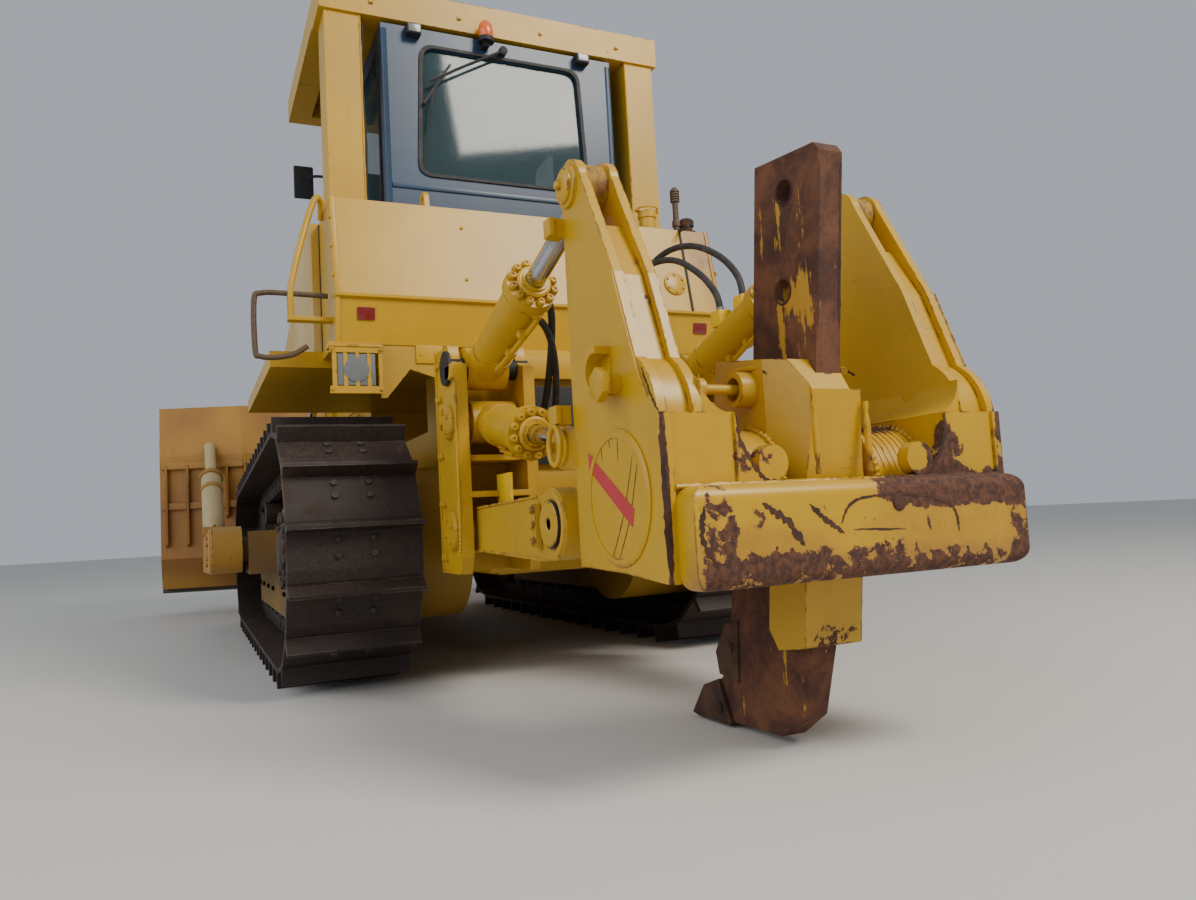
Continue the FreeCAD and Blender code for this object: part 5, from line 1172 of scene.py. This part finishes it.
class DOZER_OT_cab(bpy.types.Operator):
    """Window rubbers, wiper, beacon, lamps, mirrors and handles of the cab"""

    bl_idname = "dozer.cab"
    bl_label = "Cab fittings"

    def execute(self, context):
        seals = Pieces()

        def seal(corners, place, axis, body_pieces, width=0.030):
            outer = rounded(corners, 0.10)
            inner = [p + (Vector((sum(c[0] for c in corners), sum(c[1] for c in corners))) / 4 - p).normalized() * width for p in outer]
            rings = []
            for a, b in zip(outer, inner):
                ring = []
                for flat, depth in ((a, 0.0), (a, 0.012), (b, 0.012), (b, 0.0)):
                    along = place[0] + place[1] * depth
                    point = Vector((along, flat.x, flat.y)) if axis == "x" else Vector((flat.x, along, flat.y))
                    ring.append(body_pieces.mesh.verts.new(point))
                rings.append(ring)
            body_pieces.skin(rings, True)

        seal(((-0.625, 3.215), (0.625, 3.215), (0.585, 4.135), (-0.585, 4.135)), (0.1605, -1), "x", seals)
        seal(((-0.485, 2.875), (0.485, 2.875), (0.485, 4.105), (-0.485, 4.105)), (2.1995, 1), "x", seals)
        for side in (1, -1):
            seal(((0.265, 2.975), (1.045, 2.975), (1.045, 4.105), (0.265, 4.105)), (side * 0.8395, side), "y", seals)
        seals.finish("window_rubbers", "machine", "rubber", DARK)
        for side, name in ((1, "l"), (-1, "r")):
            door, handle = Pieces(), Pieces()
            seal(((1.175, 2.735), (1.785, 2.735), (1.785, 4.065), (1.175, 4.065)), (side * 0.8395, side), "y", door)
            door.finish(f"door_rubber_{name}", f"cab_door_{name}", "rubber", DARK)
            handle.tube(((1.15, side * 0.838, 2.95), (1.15, side * 0.885, 2.97), (1.15, side * 0.885, 3.25), (1.15, side * 0.838, 3.27)), 0.012, 10, 8)
            handle.finish(f"door_handle_{name}", f"cab_door_{name}", "fitting", STEEL)
        dark = Pieces()
        dark.lathe(((0, 0.030), (0.05, 0.030), (0.055, 0.02)), (0.158, 0.0, 4.165), (-1, 0, 0), 20)
        dark.tube(((0.118, 0.0, 4.165), (0.116, 0.26, 4.02), (0.116, 0.53, 3.86)), 0.010, 8, 6)
        dark.box((0.118, 0.30, 3.845), (0.134, 0.66, 3.862), 0.003, Matrix.Rotation(-1.0, 3, "X"))
        dark.tube(((0.118, 0.47, 3.90), (0.120, 0.52, 3.74), (0.120, 0.54, 3.55)), 0.008, 8, 6)
        dark.lathe(((0, 0.055), (0.03, 0.055), (0.035, 0.04)), (0.095, 0.13, 4.190), (0, 0, 1), 24)
        dark.box((0.085, 0.105, 4.165), (0.162, 0.155, 4.195), 0.004)
        for y, z in ((0.63, 4.20), (-0.60, 4.205)):
            dark.box((0.09, y - 0.05, z - 0.035), (0.162, y + 0.05, z + 0.035), 0.012)
        dark.box((0.152, -0.60, 2.92), (0.162, 0.60, 2.935), 0.003)
        dark.finish("cab_trim", "machine", "dark", DARK)
        navy = Pieces()
        for y in (0.82, -0.82):
            navy.tube(((0.168, y, 2.50), (0.168, y, 3.30), (0.168, y, 4.20)), 0.022, 10, 6)
        navy.box((0.150, -0.80, 3.120), (0.166, 0.80, 3.150), 0.006)
        navy.finish("cab_corners", "machine", "navy", "cab_paint")
        clear = Pieces()
        for y, z in ((0.63, 4.20), (-0.60, 4.205)):
            clear.box((0.082, y - 0.040, z - 0.027), (0.094, y + 0.040, z + 0.027), 0.006)
        clear.finish("cab_lamps", "machine", "clear", "glass")
        beacon = Pieces()
        beacon.lathe(((0, 0.045), (0.03, 0.052), (0.085, 0.048), (0.115, 0.026), (0.12, 0.005)), (0.095, 0.13, 4.222), (0, 0, 1), 32)
        beacon.finish("beacon", "machine", "orange", "glass")
        mirror = Pieces()
        mirror.tube(((2.10, 0.84, 3.9), (2.14, 1.00, 3.92), (2.16, 1.10, 3.9)), 0.012, 10, 6)
        mirror.box((2.145, 1.03, 3.72), (2.175, 1.19, 4.0), 0.014)
        mirror.mirror()
        mirror.finish("cab_mirrors", "machine", "dark", DARK)
        return {"FINISHED"}


class DOZER_OT_seat(bpy.types.Operator):
    """Seat cushion and back with sewn channels"""

    bl_idname = "dozer.seat"
    bl_label = "Seat cushions"

    def execute(self, context):
        for name, low, high, turn, place in (
            ("seat_cushion", (-0.25, -0.26), (0.25, 0.26), 0.0, (1.01, 0.0, 3.00)),
            ("seat_back", (-0.42, -0.24), (0.42, 0.24), -1.45, (0.735, 0.0, 3.36)),
        ):
            pad = bmesh.new()
            across, deep, count = high[1] - low[1], high[0] - low[0], 26
            grid = []
            for level in (1, -1):
                rows = []
                for i in range(count + 1):
                    row = []
                    for j in range(count + 1):
                        u, v = i / count * 2 - 1, j / count * 2 - 1
                        crown = (1 - abs(u) ** 4) * (1 - abs(v) ** 4)
                        pull = 1 - 0.05 * (abs(u * v))
                        seam = 0.012 * math.exp(-((abs(v) - 0.55) / 0.05) ** 2) + 0.010 * math.exp(-((u % 0.5 - 0.25) / 0.05) ** 2)
                        thick = 0.035 + (0.045 * crown ** 0.5 - seam * crown if level > 0 else 0.0)
                        row.append(pad.verts.new((u * deep / 2 * pull, v * across / 2 * pull, level * thick)))
                    rows.append(row)
                grid.append(rows)
            for rows, turned_over in ((grid[0], False), (grid[1], True)):
                for i in range(count):
                    for j in range(count):
                        quad = (rows[i][j], rows[i + 1][j], rows[i + 1][j + 1], rows[i][j + 1])
                        pad.faces.new(reversed(quad) if turned_over else quad)
            rim = [(i, 0) for i in range(count)] + [(count, j) for j in range(count)]
            rim += [(count - i, count) for i in range(count)] + [(0, count - j) for j in range(count)]
            for k, (i, j) in enumerate(rim):
                p, q = rim[(k + 1) % len(rim)]
                pad.faces.new((grid[0][i][j], grid[0][p][q], grid[1][p][q], grid[1][i][j]))
            bmesh.ops.recalc_face_normals(pad, faces=pad.faces)
            matrix = Matrix.Translation(Vector(place) + Vector((SPROCKET, 0, 0))) @ Matrix.Rotation(turn, 4, "Y")
            bmesh.ops.transform(pad, matrix=matrix, verts=pad.verts)
            data = bpy.data.meshes.new(name)
            pad.to_mesh(data)
            pad.free()
            data.polygons.foreach_set("use_smooth", [True] * len(data.polygons))
            data.materials.append(finish_of("cloth"))
            cushion = bpy.data.objects.new(name, data)
            bpy.context.scene.collection.objects.link(cushion)
            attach(cushion, "machine")
        return {"FINISHED"}


class DOZER_OT_engine(bpy.types.Operator):
    """Louvres, latches, handrails, headlamps and stack trim of the engine house"""

    bl_idname = "dozer.engine"
    bl_label = "Engine house"

    def execute(self, context):
        rails = Pieces()
        for side in (1, -1):
            y = side * 0.575
            rails.tube(((2.40, y, 2.715), (2.40, y, 2.83), (2.46, y, 2.87), (3.9, y, 2.87), (3.98, y, 2.83), (3.98, y, 2.715)), 0.014, 10, 8)
            rails.box((2.235, side * 0.600 - 0.003, 2.40), (2.245, side * 0.600 + 0.003, 2.70))
            for x in (2.6, 3.2, 3.8):
                rails.bolt((x, side * 0.5995, 2.60), (0, side, 0), 0.024)
        for x in (2.9, 3.6):
            rails.box((x - 0.004, -0.59, 2.717), (x + 0.004, 0.59, 2.724), 0.001)
        for x, y in ((3.05, -0.18), (2.56, 0.22)):
            rails.lathe(((-0.002, 0.125), (0.012, 0.125), (0.016, 0.10)), (x, y, 2.718), (0, 0, 1), 32)
            rails.ring_of_bolts((x, y, 2.73), (0, 0, 1), 0.108, 8, 0.018)
        rails.finish("hood_rails", "machine", "yellow", YELLOW)
        for side, name in ((1, "l"), (-1, "r")):
            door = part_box("engine_door_left" if side > 0 else "engine_door_right")
            x0, x1 = door[0][0] - SPROCKET, door[1][0] - SPROCKET
            face = door[1][1] if side > 0 else door[0][1]
            z0, z1 = door[0][2], door[1][2]
            slats = Pieces()
            for k in range(9):
                z = z0 + (z1 - z0) * (0.30 + 0.055 * k)
                low_y, high_y = sorted((face - side * 0.004, face + side * 0.010))
                slats.box((x0 + (x1 - x0) * 0.30, low_y, z), (x1 - (x1 - x0) * 0.15, high_y, z + 0.018), 0.004, Matrix.Rotation(side * 0.45, 3, "X"))
            slats.finish(f"door_louvres_{name}", f"engine_door_{name}", "yellow", YELLOW)
        stack = Pieces()
        stack.lathe(((-0.03, 0.079), (0.0, 0.079)), (3.05, -0.18, 3.05), (0, 0, 1), 32)
        stack.lathe(((-0.02, 0.079), (0.0, 0.079)), (3.05, -0.18, 3.30), (0, 0, 1), 32)
        stack.lathe(((0, 0.176), (0.012, 0.176)), (2.56, 0.22, 3.20), (0, 0, 1), 36)
        for k in range(4):
            stack.lathe(((0, 0.174), (0.010, 0.174)), (2.56, 0.22, 3.06 + 0.055 * k), (0, 0, 1), 36)
        stack.finish("stack_bands", "machine", "dark", DARK)
        front, glass = Pieces(), Pieces()
        for side in (1, -1):
            for z in (1.36, 1.7, 2.05, 2.4, 2.62):
                front.bolt((4.7205, side * 0.615, z), (1, 0, 0), 0.032)
            front.lathe(((-0.07, 0.06), (0.0, 0.085), (0.02, 0.085), (0.02, 0.07)), (4.50, side * 0.52, 2.79), (1, 0, 0), 28)
            glass.lathe(((0, 0.070), (0.008, 0.060), (0.012, 0.02)), (4.521, side * 0.52, 2.79), (1, 0, 0), 28)
            front.box((4.44, side * 0.52 - 0.025, 2.69), (4.50, side * 0.52 + 0.025, 2.73), 0.006)
        front.finish("front_fittings", "machine", "yellow", YELLOW)
        glass.finish("head_lenses", "machine", "clear", "glass")
        return {"FINISHED"}


class DOZER_OT_rollover(bpy.types.Operator):
    """Foot bolts, gussets and lugs of the roll-over structure"""

    bl_idname = "dozer.rollover"
    bl_label = "Roll-over structure"

    def execute(self, context):
        steel = Pieces()
        steel.box((0.145, 0.945, 2.812), (0.455, 1.225, 2.850), 0.006)
        for x in (0.17, 0.43):
            for y in (0.963, 1.207):
                steel.bolt((x, y, 2.850), (0, 0, 1), 0.030)
        steel.slab(((0.43, 4.27), (0.43, 4.02), (0.62, 4.27)), 1.12, 1.15, "y", 0.004)
        steel.tube(((0.168, 0.972, 2.86), (0.168, 0.972, 4.26)), 0.006, 8, 30, pulse=0.3)
        for x in (0.25, 1.9):
            steel.slab(((x - 0.05, 4.463), (x + 0.05, 4.463), (x + 0.03, 4.478), (x - 0.03, 4.478)), 1.155, 1.175, "y", 0.002)
        steel.mirror()
        for y in (-0.9, -0.3, 0.3, 0.9):
            steel.bolt((0.149, y, 4.36), (-1, 0, 0), 0.026)
        steel.finish("rollover_fittings", "machine", "yellow_posts", YELLOW)
        wires = Pieces()
        wires.tube(((0.20, 0.962, 2.90), (0.185, 0.955, 3.4), (0.20, 0.962, 3.9), (0.19, 0.95, 4.22)), 0.007, 8, 10)
        wires.finish("post_wire", "machine", "rubber", DARK)
        return {"FINISHED"}


def hose(name, points, width, body, ends=(True, True), reach=None):
    """A hose along a smooth curve of given points, with steel ferrules on it."""
    curve = bpy.data.curves.new(name, "CURVE")
    curve.dimensions = "3D"
    spline = curve.splines.new("NURBS")
    spline.points.add(len(points) - 1)
    for point, place in zip(spline.points, points):
        point.co = (place[0] + SPROCKET, place[1], place[2], 1.0)
    spline.order_u = 3
    spline.use_endpoint_u = True
    spline.resolution_u = 12
    line_curve = bpy.data.objects.new(name + "_line", curve)
    line = [v.co.copy() for v in bpy.data.meshes.new_from_object(line_curve).vertices]
    bpy.data.objects.remove(line_curve)
    curve.bevel_depth = width / 2
    curve.bevel_resolution = 5
    curve.use_fill_caps = True
    curve.materials.append(finish_of("rubber"))
    piece = bpy.data.objects.new(name, curve)
    bpy.context.scene.collection.objects.link(piece)
    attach(piece, body)
    ferrules = Pieces()
    shift = Vector((SPROCKET, 0, 0))
    for end, (tip, inner) in enumerate(((line[0], line[2]), (line[-1], line[-3]))):
        if ends[end]:
            along = (inner - tip).normalized()
            r = width / 2
            ferrules.lathe(((-0.03, r * 0.9), (0.0, r * 0.9), (0.0, r * 1.15), (0.055, r * 1.15), (0.06, r * 1.02)), tip - shift, along, 20)
            ferrules.lathe(((-0.055, r * 1.35), (-0.028, r * 1.35)), tip - shift, along, 6)
    fitting = ferrules.finish(name + "_ends", body, "fitting", STEEL)


# Hoses: name, points
HOSES = (
    ("tilt_hose_upper", (
        (-0.47, -0.60, 2.32), (-0.60, -0.61, 2.42), (-0.85, -0.64, 2.50), (-1.12, -0.67, 2.46), (-1.38, -0.68, 2.32),
        (-1.55, -0.675, 2.17), (-1.60, -0.67, 2.06), (-1.605, -0.665, 1.965),
    )),
    ("tilt_hose_lower", (
        (-0.47, -0.50, 2.27), (-0.60, -0.51, 2.36), (-0.82, -0.54, 2.42), (-1.08, -0.57, 2.38), (-1.32, -0.59, 2.22),
        (-1.44, -0.60, 2.09), (-1.475, -0.60, 2.01), (-1.48, -0.60, 1.93),
    )),
    ("tilt_hose_left_upper", (
        (-1.62, 0.575, 1.93), (-1.62, 0.50, 1.97), (-1.50, 0.40, 1.95), (-1.28, 0.32, 1.80), (-1.08, 0.275, 1.60),
        (-0.94, 0.26, 1.46), (-0.855, 0.26, 1.42),
    )),
    ("tilt_hose_left_lower", (
        (-1.50, 0.575, 1.88), (-1.48, 0.48, 1.90), (-1.36, 0.36, 1.84), (-1.18, 0.26, 1.68), (-1.02, 0.21, 1.50),
        (-0.93, 0.20, 1.39), (-0.855, 0.20, 1.35),
    )),
)


class DOZER_OT_hoses(bpy.types.Operator):
    """Hoses of the ripper cylinders with their fittings"""

    bl_idname = "dozer.hoses"
    bl_label = "Ripper hoses"

    def execute(self, context):
        for name, points in HOSES:
            hose(name, points, context.scene.dozer_fastenings.hose, "machine")
        ports = Pieces()
        for x, y, top in ((-1.60, 0.67, 2.03), (-1.48, 0.60, 1.97)):
            axis = 1.69 + (-1.10 - x) * 0.3169
            ports.box((x - 0.045, -y - 0.040, axis + 0.070), (x + 0.045, -y + 0.040, top), 0.012)
        ports.finish("hose_guards", "tilt_barrel", "yellow_bright", YELLOW)
        plate = Pieces()
        for y, z in ((-0.60, 2.32), (-0.50, 2.27)):
            plate.lathe(((0, 0.036), (0.012, 0.036), (0.018, 0.026), (0.04, 0.024)), (-0.447, y, z - 0.012), (-0.75, 0, 0.66), 6)
        plate.finish("hose_ports", "machine", "fitting", STEEL)
        return {"FINISHED"}


class DOZER_OT_stage(bpy.types.Operator):
    """Lay the floor, hang the lights and set the camera"""

    bl_idname = "dozer.stage"
    bl_label = "Studio"

    def execute(self, context):
        floor = bpy.data.meshes.new("floor")
        reach = 60
        floor.from_pydata([(-reach, -reach, 0), (reach, -reach, 0), (reach, reach, 0), (-reach, reach, 0)], [], [(0, 1, 2, 3)])
        ground = bpy.data.objects.new("floor", floor)
        context.scene.collection.objects.link(ground)
        floor.materials.append(ground_paint("studio_floor", tuple(context.scene.dozer_colours.floor)))
        world = bpy.data.worlds.new("studio")
        context.scene.world = world
        world.use_nodes = True
        sky = world.node_tree.nodes["Background"]
        sky.inputs["Color"].default_value = (0.80, 0.86, 0.95, 1.0)
        sky.inputs["Strength"].default_value = 0.52
        for name, place, target, power, width, tone in LIGHTS:
            lamp = bpy.data.lights.new(name, "AREA")
            lamp.energy = power
            lamp.size = width
            lamp.color = tone
            holder = bpy.data.objects.new(name, lamp)
            holder.location = place
            aim = Vector(target) - Vector(place)
            holder.rotation_euler = aim.to_track_quat("-Z", "Y").to_euler()
            context.scene.collection.objects.link(holder)
        camera = bpy.data.cameras.new("camera")
        camera.sensor_width = 36.0
        camera.lens = 36.0 * FOCAL_PIXELS / PHOTO_WIDTH
        camera.clip_end = 300.0
        eye = bpy.data.objects.new("camera", camera)
        eye.matrix_world = camera_matrix()
        context.scene.collection.objects.link(eye)
        context.scene.camera = eye
        return {"FINISHED"}


# Lights: name, place, target, watts, width, colour
LIGHTS = (
    ("key", (-12.0, -5.0, 11.0), (-3.0, 0.0, 1.5), 1700.0, 5.0, (1.0, 0.94, 0.84)),
    ("fill", (-10.0, 11.0, 7.0), (-2.0, 0.0, 1.5), 560.0, 9.0, (0.88, 0.93, 1.0)),
    ("side", (0.0, 14.0, 9.0), (0.0, 0.0, 1.0), 500.0, 9.0, (0.95, 0.97, 1.0)),
)

PHOTO_WIDTH = 1196.0
FOCAL_PIXELS = 893.36
EYE = (-5.5382 + SPROCKET, 2.0614, 0.8803)
YAW, PITCH, ROLL = -0.4337, 0.0765, -0.0553


def camera_matrix():
    """Camera pose from its place, heading, rise and roll."""
    forward = Vector((math.cos(YAW) * math.cos(PITCH), math.sin(YAW) * math.cos(PITCH), math.sin(PITCH)))
    right = forward.cross(Vector((0, 0, 1))).normalized()
    up = right.cross(forward)
    turned_right = right * math.cos(ROLL) + up * math.sin(ROLL)
    turned_up = up * math.cos(ROLL) - right * math.sin(ROLL)
    columns = Matrix((turned_right, turned_up, -forward)).transposed()
    return Matrix.Translation(Vector(EYE)) @ columns.to_4x4()


class DOZER_PT_panel(bpy.types.Panel):
    """Lists the sizes, colours and pieces"""

    bl_label = "Bulldozer"
    bl_idname = "DOZER_PT_panel"
    bl_space_type = "VIEW_3D"
    bl_region_type = "UI"
    bl_category = "Bulldozer"

    def draw(self, context):
        column = self.layout.column()
        for group in (context.scene.dozer_colours, context.scene.dozer_fastenings):
            for name in group.__annotations__:
                column.prop(group, name)
        for operator in OPERATORS:
            column.operator(operator.bl_idname)


OPERATORS = (
    DOZER_OT_stage, DOZER_OT_hoses, DOZER_OT_finishes, DOZER_OT_cylinders, DOZER_OT_beam, DOZER_OT_arms,
    DOZER_OT_shank, DOZER_OT_tracks, DOZER_OT_blade, DOZER_OT_tank, DOZER_OT_lamps, DOZER_OT_cab, DOZER_OT_seat,
    DOZER_OT_engine, DOZER_OT_rollover,
)
GROUPS = (DozerColours, DozerFastenings)


def register():
    for group in GROUPS:
        bpy.utils.register_class(group)
    bpy.types.Scene.dozer_colours = PointerProperty(type=DozerColours)
    bpy.types.Scene.dozer_fastenings = PointerProperty(type=DozerFastenings)
    for operator in OPERATORS:
        bpy.utils.register_class(operator)
    bpy.utils.register_class(DOZER_PT_panel)


def unregister():
    bpy.utils.unregister_class(DOZER_PT_panel)
    for operator in reversed(OPERATORS):
        bpy.utils.unregister_class(operator)
    del bpy.types.Scene.dozer_fastenings
    del bpy.types.Scene.dozer_colours
    for group in reversed(GROUPS):
        bpy.utils.unregister_class(group)


def main():
    register()
    for operator in OPERATORS:
        family, name = operator.bl_idname.split(".")
        getattr(getattr(bpy.ops, family), name)()


if __name__ == "__main__":
    main()
